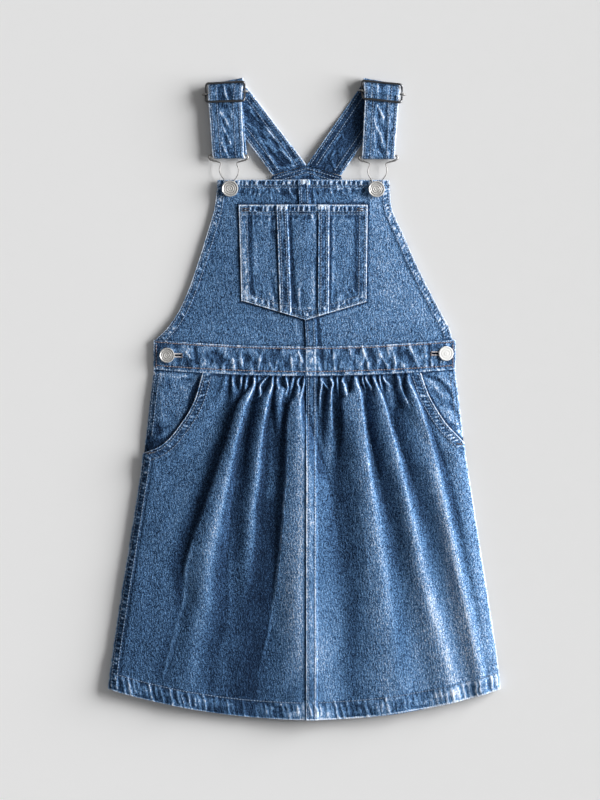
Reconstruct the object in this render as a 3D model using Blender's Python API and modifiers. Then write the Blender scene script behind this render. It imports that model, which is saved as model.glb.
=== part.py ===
"""Child's denim pinafore dress, laid flat and face up.

Origin: on the resting plane, at the centre of the outline. +X to the dress's
right-hand side as seen, +Y up to the straps, +Z out of the front.
Sizes below are millimetres; the meshes are made in metres.
"""
import math
from collections import namedtuple

import bmesh
import bpy
from mathutils import Vector

MM = 0.001
GAP = 0.3                 # between pieces that touch or are sewn together

# cloth
DENIM = 1.0               # one layer
DOUBLE = 2.0              # hems and waistbands, two layers
WEBBING = 1.8             # a strap, sewn as a flat tube
LAYER = DENIM + GAP       # how far a piece lies above the one it is sewn to

# overall form
HALF_WAIST = 143.0
WAIST_TOP, WAIST_TOP_RISE = 48.6, 6.6         # upper edge of the waistband: centre, rise at the ends
WAIST_LOW, WAIST_LOW_RISE = 21.2, 6.0         # lower edge
HEM_LOW, HEM_RISE = -304.0, 28.8
HEM_DEPTH = 17.5
HEM_LINE = 1 - HEM_DEPTH / (WAIST_LOW - HEM_LOW)      # the hem's stitching, from waist (0) to hem (1)
HALF_HEM = 185.8
ROLL, ROLL_POWER = 15.0, 2.4   # width over which the skirt's sides round down, and how squarely

# heights of the front's outer face above the resting plane
EDGE_HIGH = 3.6           # at the skirt's side seams, and higher where the hem is double
EDGE_HEM_RISE = 2.0
BACK_CURL = 1.0           # how far the back skirt turns up to meet them
CURL_WIDTH = 8.0
WAIST_END_HIGH, WAIST_CROWN, WAIST_ROUND = 4.4, 3.0, 45.0
BIB_SIDE_HIGH, BIB_CROWN = 3.8, 2.4

Station = namedtuple("Station", "share high")
BASE_HIGH = [             # front skirt between its folds, from waist (0) to hem (1)
    Station(0.00, 7.2), Station(0.10, 8.6), Station(0.45, 10.0), Station(0.80, 9.8), Station(1.00, 9.3),
]

Width = namedtuple("Width", "y half")
SKIRT_SIDE = [
    Width(27.0, 143.0), Width(-8.0, 147.3), Width(-40.0, 151.0), Width(-68.0, 155.0),
    Width(-135.0, 165.6), Width(-192.0, 174.7), Width(-248.0, 183.0), Width(-275.2, 185.8),
]

# crest of each fold across the dress at waist, middle and hem; how wide its two slopes
# are at waist and hem; how high it stands at waist, middle and hem
Fold = namedtuple("Fold", "name waist middle hem left_waist left_hem right_waist right_hem "
                          "high_waist high_middle high_hem")
FRONT_FOLDS = [
    Fold("outer_left", -54.6, -104.0, -144.9, 9, 24, 10, 36, 4.5, 6.5, 3.5),
    Fold("middle_left", -34.7, -62.2, -69.0, 11, 16, 9, 24, 4.5, 3.0, 0.6),
    Fold("inner_left", -15.7, -23.3, -51.8, 10, 20, 15, 46, 4.0, 5.0, 3.5),
    Fold("inner_right", 48.9, 57.5, 83.1, 20, 15, 9, 32, 4.0, 5.5, 2.6),
    Fold("middle_right", 60.0, 99.3, 143.9, 8, 22, 7, 12, 3.0, 5.0, 3.0),
    Fold("outer_right", 90.7, 135.4, 170.5, 20, 26, 7, 8, 2.0, 4.0, 2.2),
]
BACK_FOLDS = [
    Fold("outer_left", -72.0, -112.0, -146.0, 12, 16, 12, 16, 1.2, 1.2, 0.6),
    Fold("inner_left", -30.0, -42.0, -50.0, 10, 14, 10, 14, 1.2, 0.8, 0.0),
    Fold("inner_right", 34.0, 44.0, 54.0, 10, 14, 10, 14, 1.2, 0.8, 0.0),
    Fold("outer_right", 76.0, 114.0, 148.0, 12, 16, 12, 16, 1.2, 1.2, 0.6),
]

Spot = namedtuple("Spot", "x y")
# hip-pocket openings, from the waistband down to the side seam
POCKET_MOUTH = {
    "left": [Spot(-96.4, 23.9), Spot(-102.1, 3.1), Spot(-108.8, -12.1), Spot(-118.3, -26.3),
             Spot(-127.8, -38.2), Spot(-138.3, -46.5), Spot(-151.6, -51.5)],
    "right": [Spot(109.7, 24.6), Spot(116.4, 5.0), Spot(124.0, -9.2), Spot(133.5, -23.5),
              Spot(143.0, -33.5), Spot(148.0, -38.5), Spot(151.6, -42.5)],
}
MOUTH_ROWS, SIDE_ROWS = 6, 8
SHARE_BELOW_MOUTH = 0.24  # how far down the centre the section through a mouth's end reaches
FACING_UNDER, FACING_UNDER_LOW = 13.0, 6.0   # how far a facing reaches behind its pocket's edge
FACING_END = 0.90         # and how far down along it
FACING_SHY = 0.5           # how much lower still it lies, and the panel over it higher

# armhole edges of the bib, from the waistband up
ARMHOLE = {
    "left": [Spot(-142.0, 54.6), Spot(-129.7, 66.8), Spot(-118.3, 83.9), Spot(-108.8, 105.7),
             Spot(-99.3, 133.3), Spot(-91.7, 158.0), Spot(-86.0, 177.0), Spot(-84.1, 188.4),
             Spot(-82.2, 206.9)],
    "right": [Spot(140.1, 55.2), Spot(137.0, 66.8), Spot(126.8, 86.0), Spot(114.5, 109.7),
              Spot(103.1, 133.3), Spot(93.6, 155.1), Spot(83.6, 177.0), Spot(81.4, 188.4),
              Spot(80.3, 206.9)],
}
BIB_TOP = 206.9
BIB_HEM = 12.0
ARM_HEM = 7.0

# felled centre seam: middle of its strip at the waist and at the bib's top edge
SEAM_SKIRT = 6.6
SEAM_TOP = -1.0
SEAM_HALF = 4.8
LAP_STEP = 1.5            # where the lapping panel steps down beside the strip
LAP_SHY = 1.2             # how far short of that step the panel under it ends

# chest pocket
POCKET_TOP = 183.0
POCKET_LEFT, POCKET_LEFT_LOW = -62.2, -59.6
POCKET_RIGHT, POCKET_RIGHT_LOW = 59.4, 58.2
POCKET_CORNER, POCKET_POINT, POCKET_POINT_X = 92.4, 74.4, 1.2
POCKET_HEM = 10.5
STRIP_LEFT, STRIP_LEFT_LOW = -21.4, -18.2
STRIP_RIGHT, STRIP_RIGHT_LOW = 18.3, 17.8
POCKET_CROWN, POCKET_CROWN_WIDTH = 1.5, 26.0

# back bib: half its width beside each height, about its own middle
BACK_BIB_MIDDLE = 2.6
BACK_BIB_SIDE = [
    Width(55.5, 133.0), Width(72.0, 112.0), Width(100.0, 78.0), Width(140.0, 50.0),
    Width(180.0, 38.0), Width(209.8, 34.0),
]
ARCH_HIGH = 219.6

# straps: outer and inner edge where each is sewn in, folds over, and turns round its hook
StrapEdge = namedtuple("StrapEdge", "outer_x outer_y inner_x inner_y")
STRAP = {
    "left": dict(
        sewn=StrapEdge(-31.9, 211.6, 0.9, 220.6),
        fold=StrapEdge(-91.0, 297.0, -58.2, 303.4),
        mouth=StrapEdge(-90.7, 280.5, -60.2, 281.0),
        loop=StrapEdge(-87.0, 230.2, -57.6, 230.2),
        rear_shift=2.6),
    "right": dict(
        sewn=StrapEdge(36.2, 211.2, 4.6, 220.6),
        fold=StrapEdge(90.0, 296.6, 56.0, 303.4),
        mouth=StrapEdge(88.8, 279.6, 57.4, 281.8),
        loop=StrapEdge(85.0, 229.7, 54.6, 229.7),
        rear_shift=0.0),
}
FRONT_MID = 7.7           # height of the strap's middle under the slider's bars
LOOP_MID = 2.1            # radius of the strap's middle round the hook
WRAP_MID = 2.2            # and round the slider's middle bar
HOOK_BAR_Z = 5.6
HOOK_LEAN = {"left": -1.6, "right": 1.8}      # how far the hook's top stands beside its button

# wire
SLIDER_WIRE = 1.0         # radii
HOOK_WIRE = 0.8
BAR_WIRE = 0.9
BAR_STRAIGHT = 3.3        # the middle bar bends this far before the frame's side, and curls round it
CURL_TURN = 200.0
BAR_Z = 5.2
FRAME_Z = 9.9
SIDE_Z = 6.0              # the frame's sides where the middle bar curls round them
Slider = namedtuple("Slider", "top_left top_right low_left low_right bar_left bar_right")
SLIDER = {
    "left": Slider(Spot(-93.0, 297.6), Spot(-57.0, 299.6), Spot(-93.4, 280.4), Spot(-57.3, 281.4),
                   Spot(-93.6, 287.8), Spot(-56.6, 290.6)),
    "right": Slider(Spot(54.4, 300.6), Spot(92.0, 296.8), Spot(55.4, 283.6), Spot(91.4, 279.8),
                    Spot(54.4, 291.4), Spot(92.4, 288.0)),
}
# hook: half of its wire beside its button, from the strap's loop down to the button's shank
Bend = namedtuple("Bend", "aside above z")
HOOK_BENDS = [
    Bend(17.3, 31.8, HOOK_BAR_Z), Bend(18.1, 31.0, HOOK_BAR_Z), Bend(18.3, 29.8, HOOK_BAR_Z),
    Bend(17.6, 28.6, 5.7), Bend(15.6, 27.4, 5.7), Bend(10.6, 25.9, 5.8), Bend(8.3, 25.0, 5.8),
    Bend(7.6, 23.6, 5.8), Bend(8.6, 20.6, 5.8), Bend(9.0, 17.6, 5.8), Bend(8.4, 14.2, 5.8),
    Bend(6.6, 11.0, 5.8), Bend(4.9, 8.6, 5.8), Bend(4.1, 5.4, 5.8), Bend(4.0, 2.0, 5.8),
]
HOOK_SEAT = 4.0           # radius of the hook's end round the shank

# buttons
Button = namedtuple("Button", "x y radius")
BIB_BUTTON = {"left": Button(-70.6, 198.4, 7.8), "right": Button(68.1, 197.9, 7.8)}
SIDE_BUTTON = {"left": Button(-130.2, 40.7, 7.2), "right": Button(134.0, 42.4, 7.0)}
BUTTON_THICK = 2.6
SHANK = 2.4
HOLE_ROUND = 3.0
HOLE_SLIT, HOLE_LENGTH = 0.7, 13.5

DENIM_BLUE = (0.085, 0.145, 0.235)
SILVER = (0.62, 0.61, 0.58)
GUNMETAL = (0.16, 0.155, 0.15)


# ---------------------------------------------------------------- small sums

def mix(a, b, t):
    return a + (b - a) * t


def clamp(t):
    return max(0.0, min(1.0, t))


def ease(t):
    t = clamp(t)
    return t * t * (3 - 2 * t)


def through(a, b, c, t):
    """The parabola through a, b and c at 0, 0.5 and 1."""
    return a * (1 - t) * (1 - 2 * t) + b * 4 * t * (1 - t) + c * t * (2 * t - 1)


def read(table, at):
    """The second column of a table, read smoothly at a value of the first."""
    rows = sorted(table)
    if at <= rows[0][0]:
        return rows[0][1]
    if at >= rows[-1][0]:
        return rows[-1][1]
    k = max(i for i, row in enumerate(rows) if row[0] <= at)
    k = min(k, len(rows) - 2)
    (x0, y0), (x1, y1) = rows[k], rows[k + 1]
    before = rows[k - 1] if k else rows[0]
    after = rows[k + 2] if k + 2 < len(rows) else rows[-1]
    span = x1 - x0
    slope0 = (y1 - before[1]) / (x1 - before[0])
    slope1 = (after[1] - y0) / (after[0] - x0)
    t = (at - x0) / span
    return ((2 * t**3 - 3 * t**2 + 1) * y0 + (t**3 - 2 * t**2 + t) * span * slope0
            + (3 * t**2 - 2 * t**3) * y1 + (t**3 - t**2) * span * slope1)


def along(spots, t):
    """A point part of the way along a row of spots, on a smooth curve through them."""
    places = list(enumerate(spots))
    at = t * (len(spots) - 1)
    return Spot(read([(i, p.x) for i, p in places], at), read([(i, p.y) for i, p in places], at))


def distance(spots, x, y):
    """How far a point is from a row of spots joined by straight lines."""
    best = 1e9
    for a, b in zip(spots, spots[1:]):
        dx, dy = b.x - a.x, b.y - a.y
        t = clamp(((x - a.x) * dx + (y - a.y) * dy) / (dx * dx + dy * dy))
        best = min(best, math.hypot(x - a.x - t * dx, y - a.y - t * dy))
    return best


# ---------------------------------------------------------------- the dress's surfaces

def waist_top(x):
    return WAIST_TOP + WAIST_TOP_RISE * (x / HALF_WAIST) ** 2


def waist_low(x):
    return WAIST_LOW + WAIST_LOW_RISE * (x / HALF_WAIST) ** 2


def hem_low(x):
    return HEM_LOW + HEM_RISE * (x / HALF_HEM) ** 2


def half_width(y):
    return read(SKIRT_SIDE, y)


def skirt_share(x, y):
    """0 at the waist seam, 1 at the hem."""
    return clamp((waist_low(x) - y) / (waist_low(x) - hem_low(x)))


def fold_line(f, share):
    """A fold's crest and the feet of its two slopes."""
    crest = through(f.waist, f.middle, f.hem, share)
    return crest - mix(f.left_waist, f.left_hem, share), crest, crest + mix(f.right_waist, f.right_hem, share)


def fold_high(folds, x, share):
    total = 0.0
    for f in folds:
        left, crest, right = fold_line(f, share)
        width = crest - left if x < crest else right - crest
        high = max(0.0, through(f.high_waist, f.high_middle, f.high_hem, share))
        total += high * 0.5 * (1 + math.cos(math.pi * min(1.0, abs(x - crest) / width)))
    return total


def waist_high(x):
    """Outer face of the front waistband."""
    return WAIST_END_HIGH + WAIST_CROWN * (1 - (1 - clamp((HALF_WAIST - abs(x)) / WAIST_ROUND)) ** 2)


def side_high(x, y):
    """Outer face of the skirt's front without what lies over the pocket facings."""
    share = skirt_share(x, y)
    inside = half_width(y) - abs(x)
    round_off = 1 - (1 - clamp(inside / ROLL)) ** ROLL_POWER
    base = min(read(BASE_HIGH, share), mix(waist_high(x), 20.0, share / 0.3))
    edge = EDGE_HIGH + EDGE_HEM_RISE * ease((share - 0.84) / 0.08)
    return edge + (base - edge + fold_high(FRONT_FOLDS, x, share)) * round_off


def skirt_high(x, y):
    """Outer face of the skirt's front panels, raised where a facing lies behind them."""
    mouth = POCKET_MOUTH["left" if x < 0 else "right"]
    behind = 1 - ease((distance(mouth, x, y) - FACING_UNDER - 1.5) / 14.0)
    return side_high(x, y) + (LAYER + FACING_SHY) * behind


def seam_middle(y):
    """Middle of the centre seam's strip."""
    return mix(SEAM_SKIRT, SEAM_TOP, clamp((y - WAIST_TOP) / (BIB_TOP - WAIST_TOP)))


def bib_high(x, y):
    """Outer face of the front bib."""
    rise = clamp((y - WAIST_TOP) / (BIB_TOP - WAIST_TOP))
    side = "left" if x < 0 else "right"
    half = abs(read([(p.y, p.x) for p in ARMHOLE[side]], y))
    own = BIB_SIDE_HIGH + BIB_CROWN * (1 - min(1.0, abs(x) / half) ** 2)
    return mix(waist_high(x) - 0.3, own, ease(rise / 0.22))


def pocket_high(x, y):
    """Outer face of the chest pocket, carried over the centre seam below it."""
    over_seam = ease(1 - abs(x - seam_middle(y)) / POCKET_CROWN_WIDTH)
    return bib_high(x, y) + LAYER + POCKET_CROWN * over_seam


# ---------------------------------------------------------------- making solids

def start_scene():
    for thing in list(bpy.data.objects):
        bpy.data.objects.remove(thing, do_unlink=True)


def collection(name):
    made = bpy.data.collections.new(name)
    bpy.context.scene.collection.children.link(made)
    return made


def finish(name, colour, metallic, roughness):
    material = bpy.data.materials.new(name)
    material.use_nodes = True
    shader = material.node_tree.nodes["Principled BSDF"]
    shader.inputs["Base Color"].default_value = (*colour, 1)
    shader.inputs["Metallic"].default_value = metallic
    shader.inputs["Roughness"].default_value = roughness
    return material


def add(name, data, material):
    piece = bpy.data.objects.new(name, data)
    DRESS.objects.link(piece)
    data.materials.append(material)
    return piece


def cloth(name, sections, wall, side=-1, thick=None):
    """A wall of cloth on a sheet through sections, from the lowest one up, each from left to right.

    side says where the wall grows: -1 below the sheet, 1 above it, 0 to both sides. thick gives
    each point's share of the wall, as rows like the sections.
    """
    across, up = len(sections[0]) - 1, len(sections) - 1
    mesh = bpy.data.meshes.new(name)
    sheet = bmesh.new()
    bmesh.ops.create_grid(sheet, x_segments=across, y_segments=up, size=0.5)
    share = {}
    for vert in sheet.verts:
        i, j = round((vert.co.x + 0.5) * across), round((vert.co.y + 0.5) * up)
        share[vert.index] = thick[j][i] if thick else 1.0
        vert.co = Vector(sections[j][i]) * MM
    sheet.to_mesh(mesh)
    sheet.free()
    piece = add(name, mesh, finish(name, DENIM_BLUE, 0.0, 0.85))
    solid = piece.modifiers.new("wall", "SOLIDIFY")
    solid.thickness = wall * MM
    solid.offset = side
    solid.use_even_offset = True
    solid.use_quality_normals = True
    if thick:
        group = piece.vertex_groups.new(name="thick")
        for index, value in share.items():
            group.add([index], value, "REPLACE")
        solid.vertex_group = group.name
    mesh.shade_smooth()
    return piece


def wire(name, points, radius, closed=False, colour=SILVER):
    curve = bpy.data.curves.new(name, "CURVE")
    curve.dimensions = "3D"
    curve.bevel_depth = radius * MM
    curve.bevel_resolution = 2
    curve.use_fill_caps = True
    line = curve.splines.new("POLY")
    line.points.add(len(points) - 1)
    for place, point in zip(line.points, points):
        place.co = (*(Vector(point) * MM), 1)
    line.use_cyclic_u = closed
    return add(name, curve, finish(name, colour, 1.0, 0.35))


def turned(name, profile, spot, base):
    """A body turned about a vertical axis; its profile runs from its top down its outer side."""
    mesh = bpy.data.meshes.new(name)
    outline = bmesh.new()
    verts = [outline.verts.new(Vector((r, 0, z)) * MM) for r, z in profile]
    for a, b in zip(verts, verts[1:]):
        outline.edges.new((a, b))
    outline.to_mesh(mesh)
    outline.free()
    piece = add(name, mesh, finish(name, SILVER, 1.0, 0.3))
    piece.location = Vector((spot.x, spot.y, base)) * MM
    screw = piece.modifiers.new("turn", "SCREW")
    screw.steps = screw.render_steps = 28
    screw.use_merge_vertices = True
    screw.merge_threshold = 0.00005
    return piece


def rounded(corners, radius, steps=5):
    """A closed line through corners, each rounded off by a short curve."""
    path = []
    count = len(corners)
    for k in range(count):
        before, here, after = (Vector(corners[(k + i) % count]) for i in (-1, 0, 1))
        start = here + (before - here).normalized() * radius
        stop = here + (after - here).normalized() * radius
        for i in range(steps + 1):
            t = i / steps
            path.append((1 - t) ** 2 * start + 2 * t * (1 - t) * here + t * t * stop)
    return path


# ---------------------------------------------------------------- skirt

def lines_between(keys):
    """Column places: each stretch between two neighbouring keys is cut into its own number of parts."""
    places = []
    for (a, parts), (b, _) in zip(keys, keys[1:]):
        places += [mix(a, b, k / parts) for k in range(parts)]
    return places + [keys[-1][0]]


def skirt_front(side):
    """One half of the skirt's front: from the pocket mouth and side seam to the centre seam."""
    sign = -1 if side == "left" else 1
    mouth = POCKET_MOUTH[side]
    lapping = side == "right"
    rows = []                                # (spot on the edge, share of the centre line)
    for k in range(MOUTH_ROWS + 1):
        t = k / MOUTH_ROWS
        rows.append((along(mouth, t), SHARE_BELOW_MOUTH * t ** 1.15))
    hem_side = hem_low(HALF_HEM)
    for k in range(1, SIDE_ROWS + 1):
        t = (k / SIDE_ROWS) ** 1.25          # closer together just below the mouth
        y = mix(mouth[-1].y, hem_side + HEM_DEPTH, t)
        rows.append((Spot(sign * half_width(y), y), mix(SHARE_BELOW_MOUTH, HEM_LINE, t)))
    rows.append((Spot(sign * HALF_HEM, hem_side), 1.0))

    sections, thick = [], []
    for edge, share in rows:
        middle_y = mix(waist_low(0) - GAP, HEM_LOW, share)
        edge_y = edge.y if share else waist_low(edge.x) - GAP
        lines = {f.name: fold_line(f, share) for f in FRONT_FOLDS}
        round_from = edge.x - sign * ROLL
        if side == "left":
            foot, outer, _ = lines["outer_left"]
            middle, inner = lines["middle_left"][1], lines["inner_left"][1]
            keys = [(edge.x, 3), (round_from, 2), (foot, 2), (outer, 2), (mix(outer, middle, 0.5), 2),
                    (middle, 2), (mix(middle, inner, 0.45), 2), (inner, 3),
                    (SEAM_SKIRT + SEAM_HALF - LAP_SHY, 1)]
        else:
            foot, inner, _ = lines["inner_right"]
            _, middle, past_middle = lines["middle_right"]
            outer = min(lines["outer_right"][1], round_from - 2)
            keys = [(SEAM_SKIRT - SEAM_HALF, 1), (SEAM_SKIRT + SEAM_HALF, 1),
                    (SEAM_SKIRT + SEAM_HALF + LAP_STEP, 2), (foot, 2), (inner, 2),
                    (mix(inner, middle, 0.5), 2), (middle, 1), (past_middle, 2), (outer, 2),
                    (round_from, 3), (edge.x, 1)]
        section, shares = [], []
        for x in lines_between(keys):
            bend = clamp((x - SEAM_SKIRT) / (edge.x - SEAM_SKIRT)) ** 2
            y = mix(middle_y, edge_y, bend)
            lapped = lapping and x < SEAM_SKIRT + SEAM_HALF + 0.1
            section.append((x, y, skirt_high(x, y) + (LAYER if lapped else 0.0)))
            shares.append(1.0 if share > HEM_LINE - 0.01 and not lapped else DENIM / DOUBLE)
        sections.append(section)
        thick.append(shares)
    return cloth("skirt_front_" + side, sections[::-1], DOUBLE, thick=thick[::-1])


def hip_facing(side):
    """The piece behind a pocket mouth: from the side seam to a little behind the mouth's edge."""
    sign = -1 if side == "left" else 1
    mouth = POCKET_MOUTH[side]
    steps, across = 8, 6
    sections = []
    for k in range(steps + 1):
        t = k / steps * FACING_END
        edge = along(mouth, t)
        ahead, behind = along(mouth, min(1, t + 0.02)), along(mouth, max(0, t - 0.02))
        run = Vector((ahead.x - behind.x, ahead.y - behind.y)).normalized()
        reach = mix(FACING_UNDER, FACING_UNDER_LOW, t * t)
        inner = Vector(edge) + sign * Vector((run.y, -run.x)) * reach
        y = mix(waist_low(HALF_WAIST) - GAP, mouth[-1].y, t)
        outer = Vector((sign * (half_width(y) - 0.2), y))
        section = []
        for i in range(across + 1):
            place = outer.lerp(inner, i / across)
            place.y = min(place.y, waist_low(place.x) - GAP) if k else waist_low(place.x) - GAP
            section.append((place.x, place.y, side_high(place.x, place.y) - FACING_SHY))
        sections.append(section if side == "left" else section[::-1])
    return cloth("hip_facing_" + side, sections[::-1], DENIM)


def skirt_back():
    """The back skirt lies on the resting plane, turned up a little along the side seams."""
    across, up = 30, 10
    shares = [1.0, HEM_LINE] + [HEM_LINE * (1 - k / up) for k in range(1, up + 1)]
    sections, thick = [], []
    for share in shares:
        edge_y = mix(waist_low(HALF_WAIST) - GAP, hem_low(HALF_HEM), share)
        edge = half_width(edge_y) - 0.2
        section = []
        for i in range(across + 1):
            x = edge * math.sin(mix(-1, 1, i / across) * math.pi / 2)      # closer near the side seams
            y = mix(waist_low(x) - GAP, hem_low(x) + 0.6, share)
            curl = BACK_CURL * (1 - clamp((half_width(y) - abs(x)) / CURL_WIDTH)) ** 2
            section.append((x, y, curl + fold_high(BACK_FOLDS, x, share)))
        sections.append(section)
        thick.append([1.0 if share == 1.0 else DENIM / DOUBLE] * (across + 1))
    return cloth("skirt_back", sections, DOUBLE, side=1, thick=thick)


# ---------------------------------------------------------------- waist and bib

def band(name, ends, low, top, high, side):
    across, up = 22, 2
    sections = []
    for j in range(up + 1):
        section = []
        for i in range(across + 1):
            x = mix(-ends, ends, i / across)
            section.append((x, mix(low(x), top(x), j / up), high(x)))
        sections.append(section)
    return cloth(name, sections, DOUBLE, side=side)


def buttonholes(piece):
    """Keyhole buttonholes through both ends of the front waistband."""
    for side, button in SIDE_BUTTON.items():
        inward = 1 if side == "left" else -1
        slit = Vector((button.x + inward * HOLE_LENGTH / 2, button.y, 0))
        eye = bmesh.new()
        bmesh.ops.create_cone(eye, cap_ends=True, segments=16, radius1=HOLE_ROUND, radius2=HOLE_ROUND, depth=20)
        cut = bmesh.new()
        bmesh.ops.create_cube(cut, size=1)
        bmesh.ops.scale(cut, vec=(HOLE_LENGTH, HOLE_SLIT * 2, 20), verts=cut.verts)
        for label, shape, place in (("eye", eye, Vector((button.x, button.y, 0))), ("slit", cut, slit)):
            bmesh.ops.translate(shape, vec=place, verts=shape.verts)
            bmesh.ops.scale(shape, vec=(MM, MM, MM), verts=shape.verts)
            mesh = bpy.data.meshes.new(label)
            shape.to_mesh(mesh)
            shape.free()
            cutter = bpy.data.objects.new(f"cutter_{label}_{side}", mesh)
            cutter.hide_render = True
            cutter.display_type = "WIRE"
            CUTTERS.objects.link(cutter)
            hole = piece.modifiers.new(f"{label}_{side}", "BOOLEAN")
            hole.object = cutter
            hole.operation = "DIFFERENCE"


def bib_front(side):
    lapping = side == "right"
    sign = -1 if side == "left" else 1
    arm = ARMHOLE[side]
    rows = [k / 8 for k in range(9)]
    hem = 1 - BIB_HEM / (BIB_TOP - WAIST_TOP)
    shares = sorted(rows[:-1] + [hem, 1.0])
    sections, thick = [], []
    for share in shares:
        edge = along(arm, share)
        low = waist_top(0) + GAP
        middle_y = mix(low, BIB_TOP, share)
        seam = seam_middle(middle_y)
        inner = edge.x - sign * ARM_HEM
        if side == "left":
            keys = [(edge.x, 1), (inner, 6), (seam + SEAM_HALF - LAP_SHY, 1)]
        else:
            keys = [(seam - SEAM_HALF, 1), (seam + SEAM_HALF, 1), (seam + SEAM_HALF + LAP_STEP, 5),
                    (inner, 1), (edge.x, 1)]
        section, part = [], []
        for x in lines_between(keys):
            bend = clamp((x - seam) / (edge.x - seam)) ** 2
            y = mix(middle_y, edge.y, bend) if share else waist_top(x) + GAP
            lapped = lapping and x < seam + SEAM_HALF + 0.1
            section.append((x, y, bib_high(x, y) + (LAYER if lapped else 0.0)))
            hemmed = (share >= hem or abs(x - edge.x) < 0.1) and not lapped
            part.append(1.0 if hemmed else DENIM / DOUBLE)
        sections.append(section)
        thick.append(part)
    return cloth("bib_front_" + side, sections, DOUBLE, thick=thick)


def pocket_panel(name, left, right, lap_left, lap_right):
    """One panel of the chest pocket between two leaning lines, lapped over its neighbours or not."""
    hem = 1 - POCKET_HEM / (POCKET_TOP - POCKET_CORNER)
    shares = [0.0, 0.3, 0.6, hem, 1.0]
    sections, thick = [], []
    for share in shares:
        start, stop = mix(left[1], left[0], share), mix(right[1], right[0], share)
        keys = [(start, 1)]
        if lap_left:
            keys = [(start, 1), (start + SEAM_HALF * 2, 1), (start + SEAM_HALF * 2 + LAP_STEP, 3)]
        else:
            keys = [(start, 3)]
        if lap_right:
            keys += [(stop - SEAM_HALF * 2 - LAP_STEP, 1), (stop - SEAM_HALF * 2, 1)]
        keys += [(stop, 1)]
        section = []
        for x in lines_between(keys):
            low = mix(POCKET_POINT, POCKET_CORNER, clamp(abs(x - POCKET_POINT_X) / 59.5))
            y = mix(low, POCKET_TOP, share)
            z = pocket_high(x, y)
            over_left = lap_left and x < start + SEAM_HALF * 2 + 0.1
            over_right = lap_right and x > stop - SEAM_HALF * 2 - 0.1
            section.append((x, y, z + LAYER if over_left or over_right else z))
        sections.append(section)
    return cloth(name, sections, DENIM)


def chest_pocket():
    shy = SEAM_HALF - LAP_SHY
    left_strip = (STRIP_LEFT, STRIP_LEFT_LOW)
    right_strip = (STRIP_RIGHT, STRIP_RIGHT_LOW)
    pocket_panel("chest_pocket_left", (POCKET_LEFT, POCKET_LEFT_LOW), [x + shy for x in left_strip], False, False)
    pocket_panel("chest_pocket_middle", [x - SEAM_HALF for x in left_strip], [x + SEAM_HALF for x in right_strip],
                 True, True)
    pocket_panel("chest_pocket_right", [x - shy for x in right_strip], (POCKET_RIGHT, POCKET_RIGHT_LOW), False, False)


def bib_back():
    """The back bib lies on the resting plane; its arched top meets the straps' sewn ends."""
    across, up = 12, 8
    low, shoulder = BACK_BIB_SIDE[0].y, BACK_BIB_SIDE[-1].y
    sections = []
    for j in range(up + 1):
        share = j / up
        y_side = mix(low, shoulder, share)
        half = read(BACK_BIB_SIDE, y_side)
        section = []
        for i in range(across + 1):
            t = mix(-1, 1, i / across)
            x = BACK_BIB_MIDDLE + half * t
            low_y = waist_top(x) + GAP
            arch = mix(ARCH_HIGH, shoulder, abs(t))
            section.append((x, mix(low_y, arch, share), 0.0))
        sections.append(section)
    return cloth("bib_back", sections, DENIM, side=1)


# ---------------------------------------------------------------- straps and wire

def edge_pair(a, b, t):
    return StrapEdge(*(mix(p, q, t) for p, q in zip(a, b)))


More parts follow.
